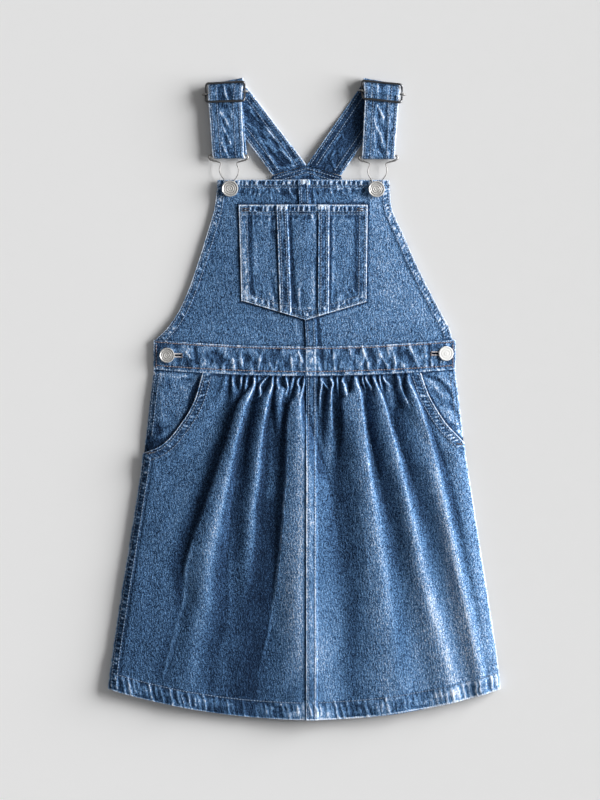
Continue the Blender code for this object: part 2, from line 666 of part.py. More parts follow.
def strap(side):
    """Flat tube of denim: from the back bib over the fold, behind the slider's bars, round the hook
    and up to the slider's middle bar, which it wraps."""
    spec = STRAP[side]
    sewn, fold, mouth, loop = (spec[k] for k in ("sewn", "fold", "mouth", "loop"))
    slider = SLIDER[side]
    stations = []                      # (edge pair, height of the middle of the wall)
    floor = WEBBING / 2

    def shifted(pair, dy, dx=0.0):
        return StrapEdge(pair.outer_x + dx, pair.outer_y + dy, pair.inner_x + dx, pair.inner_y + dy)

    # the back length, flat on the resting plane
    turn = (FRONT_MID - floor) / 2
    before_fold = shifted(fold, -turn * 1.1)
    for k in range(7):
        stations.append((edge_pair(sewn, before_fold, k / 6), floor))
    # over the fold
    for k in range(1, 8):
        angle = math.pi * k / 8
        stations.append((shifted(fold, -turn * 1.1 + turn * math.sin(angle)),
                         floor + turn * (1 - math.cos(angle))))
    # down the front: behind the slider's bars and over its middle bar
    bar = StrapEdge(*((slider.bar_left.x, slider.bar_left.y, slider.bar_right.x, slider.bar_right.y)
                      if side == "left" else
                      (slider.bar_right.x, slider.bar_right.y, slider.bar_left.x, slider.bar_left.y)))
    bar_y = (bar.outer_y + bar.inner_y) / 2
    over_bar = BAR_Z + WRAP_MID + WEBBING + GAP
    front_top = shifted(fold, -turn * 1.1)
    front_y = (front_top.outer_y + front_top.inner_y) / 2
    mouth_y = (mouth.outer_y + mouth.inner_y) / 2
    for k in range(1, 9):
        t = k / 8
        pair = edge_pair(front_top, mouth, t)
        y = (pair.outer_y + pair.inner_y) / 2
        hump = ease(1 - abs(y - bar_y) / 6.2)
        stations.append((pair, mix(FRONT_MID, over_bar, hump)))
    for k in range(1, 6):
        stations.append((edge_pair(mouth, loop, k / 5), FRONT_MID))
    # round the hook
    for k in range(1, 8):
        angle = math.pi * k / 8
        stations.append((shifted(loop, -LOOP_MID * math.sin(angle), spec["rear_shift"] * k / 8),
                         HOOK_BAR_Z + LOOP_MID * math.cos(angle)))
    # up behind, then round the middle bar
    rear = shifted(loop, 0.0, spec["rear_shift"])
    narrow = (bar.inner_x - bar.outer_x) / abs(bar.inner_x - bar.outer_x) * 3.6
    tail = StrapEdge(bar.outer_x + narrow, bar.outer_y, bar.inner_x - narrow, bar.inner_y)
    for k in range(0, 7):
        t = k / 6
        stations.append((edge_pair(rear, tail, t), mix(HOOK_BAR_Z - LOOP_MID, BAR_Z - WRAP_MID, ease(t * 2))))
    for k in range(1, 9):
        angle = math.pi * k / 8
        stations.append((shifted(tail, WRAP_MID * math.sin(angle)), BAR_Z - WRAP_MID * math.cos(angle)))

    across = 3
    sections = []
    for pair, z in stations:
        outer, inner = Vector((pair.outer_x, pair.outer_y, z)), Vector((pair.inner_x, pair.inner_y, z))
        section = [tuple(outer.lerp(inner, i / across)) for i in range(across + 1)]
        sections.append(section if side == "left" else section[::-1])
    return cloth("strap_" + side, sections, WEBBING, side=0)


def slider(side):
    """Wire frame in front of the strap, dipping at its sides to the middle bar that slides on it."""
    spec = SLIDER[side]
    corners = [(spec.top_left.x, spec.top_left.y, FRAME_Z), (spec.top_right.x, spec.top_right.y, FRAME_Z),
               (spec.bar_right.x, spec.bar_right.y, SIDE_Z), (spec.low_right.x, spec.low_right.y, FRAME_Z),
               (spec.low_left.x, spec.low_left.y, FRAME_Z), (spec.bar_left.x, spec.bar_left.y, SIDE_Z)]
    wire("slider_frame_" + side, rounded(corners, 2.6), SLIDER_WIRE, closed=True, colour=GUNMETAL)

    left, right = Vector((*spec.bar_left, SIDE_Z)), Vector((*spec.bar_right, SIDE_Z))
    run = (right - left).normalized()
    reach = SLIDER_WIRE + BAR_WIRE + 3 * GAP
    ends = []
    for end, out in ((left, -run), (right, run)):
        curl = [end - out * BAR_STRAIGHT + Vector((0, 0, BAR_Z - SIDE_Z))]
        for k in range(8):
            angle = math.radians(-90 + CURL_TURN * k / 7)
            curl.append(end + out * reach * math.cos(angle) + Vector((0, 0, reach * math.sin(angle))))
        ends.append(curl)
    wire("slider_bar_" + side, ends[0][::-1] + ends[1], BAR_WIRE)


def hook(side):
    """Wire hook: a bar in the strap's loop, two shoulders, a wide ring and a seat round the shank."""
    button = BIB_BUTTON[side]
    half = [Vector((b.aside, b.above, b.z)) for b in HOOK_BENDS]
    seat = [Vector((HOOK_SEAT * math.cos(a), -HOOK_SEAT * math.sin(a), half[-1].z))
            for a in (math.pi * k / 8 for k in range(9))]
    mirrored = [Vector((-p.x, p.y, p.z)) for p in half]
    bar = [Vector((mix(-15, 15, k / 3), HOOK_BENDS[0].above, HOOK_BAR_Z)) for k in range(4)]
    ring = bar + half + seat + mirrored[::-1]
    lean = HOOK_LEAN[side] / HOOK_BENDS[0].above
    points = [Vector((button.x + p.x + lean * max(0.0, p.y), button.y + p.y, p.z)) for p in ring]
    return wire("hook_" + side, points, HOOK_WIRE, closed=True)


def shank_button(name, spot, foot, under):
    """A domed cap on a shank: foot is the height of the shank's end, under that of the cap's underside."""
    r, top = spot.radius, under - foot + BUTTON_THICK
    low = under - foot
    profile = [(0.0, top - 0.5), (r * 0.28, top - 0.5), (r * 0.36, top - 0.1), (r * 0.62, top),
               (r * 0.86, top - 0.35), (r * 0.97, top - 1.0), (r, top - 1.7), (r * 0.96, low + 0.2),
               (r * 0.88, low), (SHANK, low), (SHANK, 0.0), (0.0, 0.0)]
    return turned(name, profile, spot, foot)


# ---------------------------------------------------------------- the dress

start_scene()
DRESS = collection("pinafore_dress")
CUTTERS = collection("cutters")

skirt_back()
band("waistband_back", HALF_WAIST - 1.5, waist_low, waist_top, lambda x: 0.0, 1)
bib_back()
for hand in ("left", "right"):
    hip_facing(hand)
    skirt_front(hand)
buttonholes(band("waistband_front", HALF_WAIST, waist_low, waist_top, waist_high, -1))
for hand in ("left", "right"):
    bib_front(hand)
chest_pocket()
for hand in ("left", "right"):
    strap(hand)
    slider(hand)
    hook(hand)
    chest = BIB_BUTTON[hand]
    seat_high = bib_high(chest.x, chest.y) + GAP
    shank_button("bib_button_" + hand, chest, seat_high, seat_high + 2.4)
    hip = SIDE_BUTTON[hand]
    shank_button("side_button_" + hand, hip, DOUBLE + GAP, waist_high(hip.x) + 0.6)
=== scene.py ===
import math
from functools import partial

import bpy
import numpy as np
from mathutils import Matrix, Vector


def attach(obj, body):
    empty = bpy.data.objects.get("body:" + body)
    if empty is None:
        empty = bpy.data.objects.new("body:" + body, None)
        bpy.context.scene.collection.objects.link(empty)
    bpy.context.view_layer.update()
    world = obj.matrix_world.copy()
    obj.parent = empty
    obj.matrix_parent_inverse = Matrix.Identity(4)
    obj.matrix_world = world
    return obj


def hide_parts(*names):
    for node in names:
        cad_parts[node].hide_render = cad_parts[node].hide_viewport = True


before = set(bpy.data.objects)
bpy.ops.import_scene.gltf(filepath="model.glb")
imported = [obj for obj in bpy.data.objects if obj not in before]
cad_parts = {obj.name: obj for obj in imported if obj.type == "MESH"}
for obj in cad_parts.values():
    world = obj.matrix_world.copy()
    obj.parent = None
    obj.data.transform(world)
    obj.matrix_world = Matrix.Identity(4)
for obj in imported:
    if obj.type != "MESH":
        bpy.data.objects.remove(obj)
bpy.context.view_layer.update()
mm = 0.001          # sizes below are millimetres
signs = dict(left=-1, right=1)
print("frame loaded")


# ---- small sums on arrays

def mix(a, b, t):
    return a + (b - a) * t


def clamp(t):
    return np.clip(t, 0.0, 1.0)


def ease(t):
    t = clamp(t)
    return t * t * (3 - 2 * t)


def near(off, width):
    return np.exp(-(off / width) ** 2)


def upTo(off, stop, soft):      # 1 as far as a distance, with a soft end
    return ease((stop - off) / soft + 0.5)


def within(off, start, stop, soft, shift=0.5):      # 1 between two distances, with soft ends
    return ease((off - start) / soft + shift) * ease((stop - off) / soft + shift)


def read(table, at):        # second column of a table, read smoothly at a value of the first
    rows = np.array(sorted(table), float)
    xs, ys = rows[:, 0], rows[:, 1]
    at = np.clip(at, xs[0], xs[-1])
    slopes = np.empty(len(xs))
    slopes[1:-1] = (ys[2:] - ys[:-2]) / (xs[2:] - xs[:-2])
    slopes[0] = (ys[1] - ys[0]) / (xs[1] - xs[0])
    slopes[-1] = (ys[-1] - ys[-2]) / (xs[-1] - xs[-2])
    k = np.clip(np.searchsorted(xs, at, side="right") - 1, 0, len(xs) - 2)
    span = xs[k + 1] - xs[k]
    t = (at - xs[k]) / span
    return ((2 * t**3 - 3 * t**2 + 1) * ys[k] + (t**3 - 2 * t**2 + t) * span * slopes[k]
            + (3 * t**2 - 2 * t**3) * ys[k + 1] + (t**3 - t**2) * span * slopes[k + 1])


def along(spots, t):        # a point part of the way along a row of spots
    at = np.asarray(t, float) * (len(spots) - 1)
    return [read([(i, p[k]) for i, p in enumerate(spots)], at) for k in (0, 1)]


def distance(spots, x, y):  # how far points lie from a row of spots, and how far along it
    best, place, gone = np.full(np.shape(x), 1e9), np.zeros(np.shape(x)), 0.0
    for (ax, ay), (bx, by) in zip(spots, spots[1:]):
        dx, dy = bx - ax, by - ay
        long = math.hypot(dx, dy)
        t = clamp(((x - ax) * dx + (y - ay) * dy) / long ** 2)
        off = np.hypot(x - ax - t * dx, y - ay - t * dy)
        place = np.where(off < best, gone + t * long, place)
        best = np.minimum(best, off)
        gone += long
    return best, place


def lattice(i, j, seed):
    n = np.sin(i * 127.1 + j * 311.7 + seed * 74.7) * 43758.5453
    return n - np.floor(n)


def noise(u, v, seed):      # smooth uneven values from 0 to 1 on a unit lattice
    i, j = np.floor(u), np.floor(v)
    a, b = ease(u - i), ease(v - j)
    return mix(mix(lattice(i, j, seed), lattice(i + 1, j, seed), a),
               mix(lattice(i, j + 1, seed), lattice(i + 1, j + 1, seed), a), b)


def rumple(u, v, seed):     # two sizes of unevenness, about 0
    return noise(u, v, seed) + 0.5 * noise(u * 2.3 + 5, v * 2.3 + 9, seed + 1) - 0.75


# ---- what a sewn face of cloth carries: lift above its form, pale marks for wear and painted light, dark marks for dye and painted shade

class Face:
    def __init__(self, x):
        self.lift, self.wear, self.deep = (np.zeros(np.shape(x)) for _ in range(3))

    def add(self, strip, share):             # a strip that shows only in part
        self.lift += strip.lift * share
        self.wear += strip.wear * share
        self.deep += strip.deep * share

    def sewn(self, off, rows, depth=0.25, width=0.65):           # the grooves that rows of stitches pull
        for at in rows:
            line = near(off - at, width)
            self.lift -= depth * line
            # painted shade in the groove: the cloth is drawn darker along it
            self.deep += 0.55 * line

    def edge(self, off, place, seed, width=1.5, amount=0.75):    # a worn edge, off inwards from it
        line = ease(1 - off / width) * (off > -0.5)
        self.wear += amount * line * (0.65 + 0.6 * noise(place / 4.5, seed, seed))
        self.deep -= 1.5 * line * clamp(self.deep)

    def ropes(self, place, off, width, pitch=5.0, slant=0.5, height=0.5, seed=1, amount=1.0):
        inside = within(off, 0, width, 1.0)
        run = place + slant * off + 1.6 * noise(place / 9, off / 5 + seed, seed + 4)
        cell = np.floor(run / pitch)
        own = [lattice(cell, k, seed) for k in range(5)]
        line = near(run - (cell + 0.5 + 0.45 * (own[0] - 0.5)) * pitch, pitch * (0.17 + 0.13 * own[1]))
        line = line * (0.35 + 0.85 * own[2]) * ease((off / width - 0.45 * own[3] + 0.35) * 3)
        line = line * ease((1.35 - 0.45 * own[4] - off / width) * 3)
        patch = noise(run / pitch / 1.3, off / 5 + seed, seed + 3)
        spots = 0.5 + noise(run / 1.6, off / 1.8 + seed, seed + 5)
        self.lift += inside * height * (line - 0.3 + 0.4 * (patch - 0.5))
        self.wear += amount * inside * (1.05 * line + 0.25 * ease((patch - 0.55) / 0.2)) * spots
        self.deep += amount * inside * ease((0.75 - patch) / 0.3) * (1 - clamp(line * 1.6)) * 0.75

    def beads(self, place, off, start, stop, pitch=4.5, seed=1, amount=1.0, slant=0.1):
        # dark hollows in a row between puckers that stand pale, between two distances from an edge
        run = place + slant * off + 1.2 * noise(place / 8, seed, seed)
        cell = np.floor(run / pitch)
        own = [lattice(cell, k, seed) for k in range(4)]
        blob = near(run - (cell + 0.5 + 0.5 * (own[0] - 0.5)) * pitch, pitch * (0.25 + 0.13 * own[1]))
        inside = ease((off - start) / 0.9 + 0.5) * upTo(off, stop - (stop - start) * 0.25 * own[2], 1.2)
        band = within(off, start, stop, 0.9, 0.6)
        blob = blob * (0.65 + 0.5 * own[3])
        self.lift += 0.5 * amount * (0.5 - blob) * band
        self.deep += 1.6 * amount * blob * inside
        grain = 0.55 + 0.9 * noise(place / 1.5, off / 1.7, seed + 2)
        self.wear += 0.95 * amount * band * clamp(1 - 1.7 * blob) * grain

    def mottle(self, place, off, width, seed=1, amount=0.5):     # a doubled, felled or bound strip
        inside = within(off, 0, width, 0.8)
        spots = noise(place / 1.5, off / 1.5 + seed, seed) - 0.8
        spots = spots + 0.6 * noise(place / 4.5, off / 2.5 + seed, seed + 1)
        self.lift += 0.25 * amount * inside * spots
        self.wear += inside * amount * (0.12 + 1.2 * spots) * (spots > -0.1)
        self.deep += inside * amount * (0.12 + clamp(-1.3 * spots))

    def strokes(self, x, y, rows, height):      # puckers one by one: from, to, half width, how worn or deep; pale on a raised pucker is partly wear and partly painted light, dark on a sunk one partly dye and partly painted shade
        for ax, ay, bx, by, width, amount in rows:
            dx, dy = bx - ax, by - ay
            t = ((x - ax) * dx + (y - ay) * dy) / (dx * dx + dy * dy)
            line = near(np.hypot(x - ax - clamp(t) * dx, y - ay - clamp(t) * dy), width)
            self.lift += height * amount * line
            if amount > 0:
                self.wear += amount * line
            else:
                self.deep -= amount * line


# ---- meshes

def finishMesh(name, verts, faces, material, marks=None, sharp=42):
    mesh = bpy.data.meshes.new(name)
    mesh.from_pydata((np.asarray(verts) * mm).tolist(), [], faces)
    mesh.update()
    for key, values in (marks or {}).items():
        vector = np.ndim(values) == 2
        layer = mesh.attributes.new(key, "FLOAT_VECTOR" if vector else "FLOAT", "POINT")
        values = np.ascontiguousarray(values, np.float32).ravel()
        layer.data.foreach_set("vector" if vector else "value", values)
    mesh.shade_smooth()
    if sharp:
        mesh.set_sharp_from_angle(angle=math.radians(sharp))
    piece = bpy.data.objects.new(name, mesh)
    bpy.context.scene.collection.objects.link(piece)
    mesh.materials.append(material)
    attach(piece, "root")
    return piece


def gridNormals(p):
    n = np.cross(np.gradient(p, axis=1), np.gradient(p, axis=0))
    return n / np.linalg.norm(n, axis=2, keepdims=True)


def loopAround(index):      # the outline of a grid of indices, the way round that faces out
    return np.concatenate([index[0, :-1], index[:-1, -1], index[-1, :0:-1], index[:0:-1, 0], index[:1, 0]])


def quads(index, flip=False):
    a, b, c, d = index[:-1, :-1], index[:-1, 1:], index[1:, 1:], index[1:, :-1]
    order = (a, d, c, b) if flip else (a, b, c, d)
    return np.stack([o.ravel() for o in order], axis=1).tolist()


def shell(name, base, up, down, face, material, weave=None, under=None, stride=2, bulge=0.3):
    # closed cloth on a grid: up and down are how far its two sides stand off, weave its own flat coordinates
    weave = (base[..., 0], base[..., 1]) if weave is None else weave
    rows, cols = base.shape[:2]
    n = gridNormals(base)
    up, down = (np.broadcast_to(np.asarray(w, float), (rows, cols))[..., None] for w in (up, down))
    outer, inner = base + n * up, base - n * down
    outerAt = np.arange(rows * cols).reshape(rows, cols)
    innerAll = inner[::stride, ::stride]
    innerAt = rows * cols + np.arange(innerAll.shape[0] * innerAll.shape[1]).reshape(innerAll.shape[:2])
    rim = loopAround(outerAt)
    inward = outerAt.copy()
    inward[0], inward[-1] = outerAt[1], outerAt[-2]
    inward[:, 0], inward[:, -1] = inward[:, 1], inward[:, -2]
    flatOuter, flatInner = outer.reshape(-1, 3), inner.reshape(-1, 3)
    loop = rim[:-1]
    out = base.reshape(-1, 3)[loop] - base.reshape(-1, 3)[inward.ravel()[loop]]
    out /= np.linalg.norm(out, axis=1, keepdims=True)
    middle = (flatOuter[loop] + flatInner[loop]) / 2 + out * bulge
    first = rows * cols + innerAt.size
    middleAt = np.append(first + np.arange(len(loop)), first)
    innerLoop = loopAround(innerAt)
    faces = quads(outerAt) + quads(innerAt, flip=True)
    for k in range(len(loop)):
        faces.append((middleAt[k], middleAt[k + 1], rim[k + 1], rim[k]))
    for k in range(len(innerLoop) - 1):
        low = [middleAt[stride * k + s] for s in range(stride, -1, -1)]
        faces.append((innerLoop[k], innerLoop[k + 1], *low))
    verts = np.concatenate([flatOuter, innerAll.reshape(-1, 3), middle])
    verts[:, 2] = np.maximum(verts[:, 2], 0.02)         # nothing sinks into the floor
    under = under or face

    def joined(key, bare):
        top = clamp(getattr(face, key)).ravel()
        below = clamp(getattr(under, key))[::stride, ::stride].ravel() if under is not face \
            else np.full(innerAt.size, bare)
        return np.concatenate([top, below, top[loop]])

    flat = np.dstack([weave[0], weave[1], np.zeros((rows, cols))])
    flatAll = flat.reshape(-1, 3)
    flat = np.concatenate([flatAll, flat[::stride, ::stride].reshape(-1, 3), flatAll[loop]])
    marks = dict(wear=joined("wear", 0.1), deep=joined("deep", 0.3), cloth=flat)
    return finishMesh(name, verts, faces, material, marks)


def spread(keys):           # columns: each stretch from key to key is cut into its own number of parts
    places = np.broadcast_arrays(*[np.asarray(at, float) for at, _ in keys])
    parts = [a[..., None] + (b - a)[..., None] * (np.arange(count) / count)
             for a, b, (_, count) in zip(places, places[1:], keys)]
    return np.concatenate(parts + [places[-1][..., None]], axis=-1)


def smoothLine(points, step, closed=False):      # evenly spaced points on a smooth line through points
    p = np.asarray(points, float)
    if closed:
        p = np.concatenate([p[-1:], p, p[:2]])
    else:
        p = np.concatenate([2 * p[:1] - p[1:2], p, 2 * p[-1:] - p[-2:-1]])
    parts = []
    t = np.linspace(0, 1, 24, endpoint=False)[:, None]
    for a, b, c, d in zip(p, p[1:], p[2:], p[3:]):
        parts.append(0.5 * (2 * b + (c - a) * t + (2 * a - 5 * b + 4 * c - d) * t**2
                            + (3 * b - a - 3 * c + d) * t**3))
    line = np.concatenate(parts + [p[-2:-1]])
    gone = np.append(0, np.cumsum(np.linalg.norm(np.diff(line[:, :3], axis=0), axis=1)))
    count = max(3, int(round(gone[-1] / step)) + 1)
    at = np.linspace(0, gone[-1], count)
    line = np.stack([np.interp(at, gone, line[:, k]) for k in range(line.shape[1])], axis=1)
    return line[:-1] if closed else line


def tube(name, points, radius, material, closed=False, step=0.5, around=14):
    # a wire: points may carry their own share of the radius as a fourth number
    line = smoothLine(points, step, closed)
    share = line[:, 3] if line.shape[1] > 3 else np.ones(len(line))
    centre = line[:, :3]
    ahead = np.roll(centre, -1, axis=0) - np.roll(centre, 1, axis=0)
    if not closed:
        ahead[0], ahead[-1] = centre[1] - centre[0], centre[-1] - centre[-2]
    ahead /= np.linalg.norm(ahead, axis=1, keepdims=True)
    side = np.zeros_like(ahead)
    start = np.cross(ahead[0], (0, 0, 1))
    side[0] = start / max(1e-6, np.linalg.norm(start)) if np.linalg.norm(start) > 0.1 else (1, 0, 0)
    for k in range(1, len(line)):
        s = side[k - 1] - ahead[k] * (side[k - 1] @ ahead[k])
        side[k] = s / np.linalg.norm(s)
    upward = np.cross(side, ahead)
    angle = np.arange(around) * 2 * math.pi / around
    ring = (side[:, None] * np.cos(angle)[None, :, None] + upward[:, None] * np.sin(angle)[None, :, None])
    verts = (centre[:, None] + ring * (radius * share)[:, None, None]).reshape(-1, 3)
    index = np.arange(len(verts)).reshape(len(line), around)
    index = np.concatenate([index, index[:, :1]], axis=1)
    if closed:          # rings turn a little on the way round: the last meets the first where it fits best
        turned = np.stack([np.roll(ring[0], -s, axis=0) for s in range(around)])
        turn = int(np.argmin(np.linalg.norm(ring[-1][None] - turned, axis=(1, 2))))
        last = np.roll(index[0, :-1], -turn)
        index = np.concatenate([index, np.append(last, last[0])[None]], axis=0)
    faces = quads(index, flip=True)
    if not closed:
        faces += [index[0, :-1].tolist(), index[-1, -2::-1].tolist()]
    return finishMesh(name, verts, faces, material, sharp=50)


def lathe(name, profile, spot, material, around=96):      # turned about an upright axis, from the top down
    angle = np.arange(around) * 2 * math.pi / around
    profile = np.asarray(profile, float)
    middle, rest = profile[0], profile[1:]
    ring = np.stack([np.cos(angle), np.sin(angle)], axis=1)
    turned = np.concatenate([np.column_stack([ring * r, np.full(around, z)]) for r, z in rest])
    verts = np.concatenate([[[0, 0, middle[1]]], turned]) + np.array([spot[0], spot[1], 0])
    index = 1 + np.arange(len(rest) * around).reshape(len(rest), around)
    index = np.concatenate([index, index[:, :1]], axis=1)
    faces = [(0, int(index[0, k]), int(index[0, k + 1])) for k in range(around)]
    faces += quads(index, flip=True) + [index[-1, -2::-1].tolist()]
    return finishMesh(name, verts, faces, material, sharp=34)


class Threads:              # a pile of stitches that is joined to one piece
    angles = (np.arange(5) - 0.25) * 2 * math.pi / 5
    steps = np.array([0.0, 0.20, 0.80, 1.0])
    lifts = np.array([-0.30, 0.12, 0.12, -0.30])
    swells = np.array([0.55, 1.0, 1.0, 0.55])

    def __init__(self):
        self.verts, self.faces, self.tones, self.count = [], [], [], 0

    def row(self, x, y, z, seed, up=None, length=1.28, gap=0.08, radius=0.43, tone=0.75, dots=True):
        line = np.stack([np.asarray(v, float) * np.ones(len(x)) for v in (x, y, z)], axis=1)
        up = np.array([[0, 0, 1.0]] * len(line)) if up is None else up
        gone = np.append(0, np.cumsum(np.linalg.norm(np.diff(line, axis=0), axis=1)))
        number = int(gone[-1] / (length + gap))
        if number < 1:
            return
        k = np.arange(number)
        start = (k + 0.12 * (lattice(k, 1, seed) - 0.5)) * gone[-1] / number + gap / 2
        own = length * (0.90 + 0.2 * lattice(k, 2, seed))
        at = start[:, None] + own[:, None] * self.steps
        place = np.stack([np.interp(at, gone, line[:, c]) for c in range(3)], axis=2)
        normal = np.stack([np.interp(at, gone, up[:, c]) for c in range(3)], axis=2)
        ahead = place[:, -1] - place[:, 0]
        ahead /= np.linalg.norm(ahead, axis=1, keepdims=True)
        side = np.cross(ahead[:, None], normal)
        side /= np.linalg.norm(side, axis=2, keepdims=True)
        wobble = 0.16 * (lattice(k, 3, seed) - 0.5)
        place = place + side * wobble[:, None, None]
        place = place + normal * (self.lifts[:, None] + radius * 0.2)
        size = radius * (0.9 + 0.2 * lattice(k, 4, seed))[:, None] * self.swells
        size = size[..., None, None]
        ring = (place[:, :, None] + side[:, :, None] * (np.cos(self.angles) * 1.1)[:, None] * size
                + normal[:, :, None] * (np.sin(self.angles) * 0.85)[:, None] * size)
        tones = clamp(tone + 0.5 * (lattice(k, 5, seed) - 0.5))
        if dots:                # every other one dark: painted shadow in the gap between stitches
            tones = np.where(k % 2 == 0, tones, 0.0)
        self.add(ring, tones)

    def add(self, ring, tones):              # ring: stitches, stations, points around, 3
        number, stations, around = ring.shape[:3]
        index = self.count + np.arange(number * stations * around).reshape(number, stations, around)
        wrapped = np.concatenate([index, index[:, :, :1]], axis=2)
        a, b = wrapped[:, :-1, :-1], wrapped[:, :-1, 1:]
        c, d = wrapped[:, 1:, 1:], wrapped[:, 1:, :-1]
        self.faces += np.stack([o.ravel() for o in (a, b, c, d)], axis=1).tolist()
        self.faces += index[:, 0, ::-1].tolist() + index[:, -1].tolist()
        self.verts.append(ring.reshape(-1, 3))
        self.tones.append(np.repeat(tones, stations * around))
        self.count += ring.shape[0] * stations * around

    def done(self, name, material):
        return finishMesh(name, np.concatenate(self.verts), self.faces, material,
                          dict(tone=np.concatenate(self.tones)), sharp=0)


# ---- shader maths

class Value:                # a socket that takes part in sums
    def __init__(self, board, socket):
        self.board, self.socket = board, socket

    def __add__(self, other):
        return self.board.maths("ADD", self, other)

    def __sub__(self, other):
        return self.board.maths("SUBTRACT", self, other)

    def __rsub__(self, other):
        return self.board.maths("SUBTRACT", other, self)

    def __mul__(self, other):
        return self.board.maths("MULTIPLY", self, other)

    __radd__, __rmul__ = __add__, __mul__


class Board:                # one material's nodes
    def __init__(self, name):
        self.material = bpy.data.materials.new(name)
        self.material.use_nodes = True
        self.nodes, self.links = self.material.node_tree.nodes, self.material.node_tree.links
        self.nodes.clear()

    def add(self, kind, settings=None, sockets=None, out=0):
        node = self.nodes.new(kind)
        for key, value in (settings or {}).items():
            if key == "stops":
                ramp = node.color_ramp
                while len(ramp.elements) < len(value):
                    ramp.elements.new(1.0)
                for stop, (at, colour) in zip(ramp.elements, value):
                    stop.position, stop.color = at, (*colour, 1)
            else:
                setattr(node, key, value)
        for key, value in (sockets or {}).items():
            if isinstance(value, Value):
                self.links.new(value.socket, node.inputs[key])
            else:
                node.inputs[key].default_value = value
        return Value(self, node.outputs[out]) if node.outputs else None

    def maths(self, operation, *values, clamped=False):
        settings = {"operation": operation, "use_clamp": clamped}
        return self.add("ShaderNodeMath", settings, dict(enumerate(values)))

    def blend(self, share, a, b, how="MIX"):
        a, b = (c if isinstance(c, Value) else (*c, 1) for c in (a, b))
        settings = {"data_type": "RGBA", "blend_type": how}
        return self.add("ShaderNodeMix", settings, {"Factor": share, 6: a, 7: b}, out=2)

    def mark(self, name, out="Fac"):
        return self.add("ShaderNodeAttribute", {"attribute_name": name}, out=out)

    def cloudy(self, at, scale, stretch=(1, 1, 1), detail=2.0, rough=0.5):
        at = self.add("ShaderNodeVectorMath", {"operation": "MULTIPLY"}, {0: at, 1: stretch})
        return self.add("ShaderNodeTexNoise", {"noise_dimensions": "3D"},
                        {"Vector": at, "Scale": scale, "Detail": detail, "Roughness": rough})

    def bump(self, strength, distance, height):
        return self.add("ShaderNodeBump", None,
                        {"Strength": strength, "Distance": distance, "Height": height})

    def done(self, surface):
        shader = self.add("ShaderNodeBsdfPrincipled", None, surface)
        self.add("ShaderNodeOutputMaterial", None, {"Surface": shader})
        return self.material


denimLook = dict(
    twill=2.9,              # from one steep rib to the next, mm
    stops=[(0.00, (0.005, 0.014, 0.036)), (0.16, (0.021, 0.054, 0.122)), (0.34, (0.053, 0.120, 0.245)),
           (0.50, (0.094, 0.208, 0.390)), (0.64, (0.150, 0.288, 0.500)), (0.80, (0.265, 0.405, 0.620)),
           (1.00, (0.640, 0.710, 0.810))],
    yarn=1.00, speck=0.5, mottle=0.10, streak=0.20, cloud=0.20, rib=0.22, wear=0.54, bare=0.42, deep=0.46,
    tint=0.18, lilac=(1.16, 0.98, 1.04), spread=0.80)


def denim(name, tone):
    look = denimLook
    b = Board(name)
    at = b.mark("cloth", "Vector")
    flat = b.add("ShaderNodeSeparateXYZ", None, {0: at})
    u, v = flat, Value(b, flat.socket.node.outputs[1])
    wobble = b.cloudy(at, 0.30, (1.0, 0.6, 1), 1.0)
    rib = b.maths("SINE", (u + v * 0.12) * (2 * math.pi / look["twill"]) + wobble * 16.0)
    speck = b.cloudy(at, 1.7, (1.0, 0.7, 1), 1.0, 0.7)
    mottle = b.cloudy(at, 0.42, (1.0, 0.80, 1), 2.0, 0.6)
    turned = b.add("ShaderNodeVectorMath", {"operation": "MULTIPLY"}, {0: at, 1: (1.0, 0.62, 1.0)})
    cell = b.add("ShaderNodeTexVoronoi", {"voronoi_dimensions": "2D"}, {"Vector": turned, "Scale": 2.2},
                 out=1)
    yarn = b.add("ShaderNodeSeparateColor", None, {0: cell})
    streak = b.cloudy(at, 0.85, (1.0, 0.42, 1), 0.0)
    cloud = b.cloudy(at, 0.045, (1.0, 0.7, 1), 2.0, 0.5)
    grain = (speck - 0.5) * look["speck"] + (mottle - 0.5) * look["mottle"] + (streak - 0.5) * look["streak"]
    grain = grain + (yarn - 0.5) * look["yarn"]
    grain = grain + rib * (look["rib"] * 0.5)
    # the cloth's pale mark holds wear and painted light, its dark mark dye and painted shade
    worn, shadeAndDye = b.mark("wear"), b.mark("deep")
    shade = tone + (cloud - 0.5) * look["cloud"] + grain * (1 - shadeAndDye * 0.45)
    shade = shade + worn * (0.95 + (speck - 0.5) * 0.6) * look["wear"]
    shade = shade + b.maths("POWER", worn, 6.0) * look["bare"]
    shade = shade - shadeAndDye * (0.9 + (mottle - 0.5)) * look["deep"]
    colour = b.add("ShaderNodeValToRGB", {"stops": look["stops"]}, {0: shade * look["spread"]})
    tint = b.cloudy(at, 0.70, (1.0, 1.3, 1), 1.0, 0.5)
    tinted = b.maths("MULTIPLY", tint - 0.42, 2.6, clamped=True) * look["tint"]
    colour = b.blend(tinted, colour, look["lilac"], "MULTIPLY")
    bump = b.bump(0.55, 0.0004, rib * 0.35 + mottle + speck * 0.6 + streak * 0.4)
    return b.done({"Base Color": colour, "Roughness": 0.95 - mottle * 0.16, "Normal": bump,
                   "Specular IOR Level": 0.08, "Sheen Weight": 0.03, "Sheen Roughness": 0.45})


def thread(name, dark, pale):
    b = Board(name)
    at = b.add("ShaderNodeTexCoord", out="Object")
    fuzz = b.cloudy(at, 1400.0, detail=2.0)
    ply = b.add("ShaderNodeTexWave", {"bands_direction": "DIAGONAL"},
                {"Vector": at, "Scale": 900.0, "Distortion": 1.0})
    colour = b.blend(b.maths("ADD", b.mark("tone") * 0.7, fuzz * 0.5, clamped=True), dark, pale)
    bump = b.bump(0.4, 0.0001, ply + fuzz * 0.6)
    return b.done({"Base Color": colour, "Roughness": 0.85, "Normal": bump, "Specular IOR Level": 0.1})


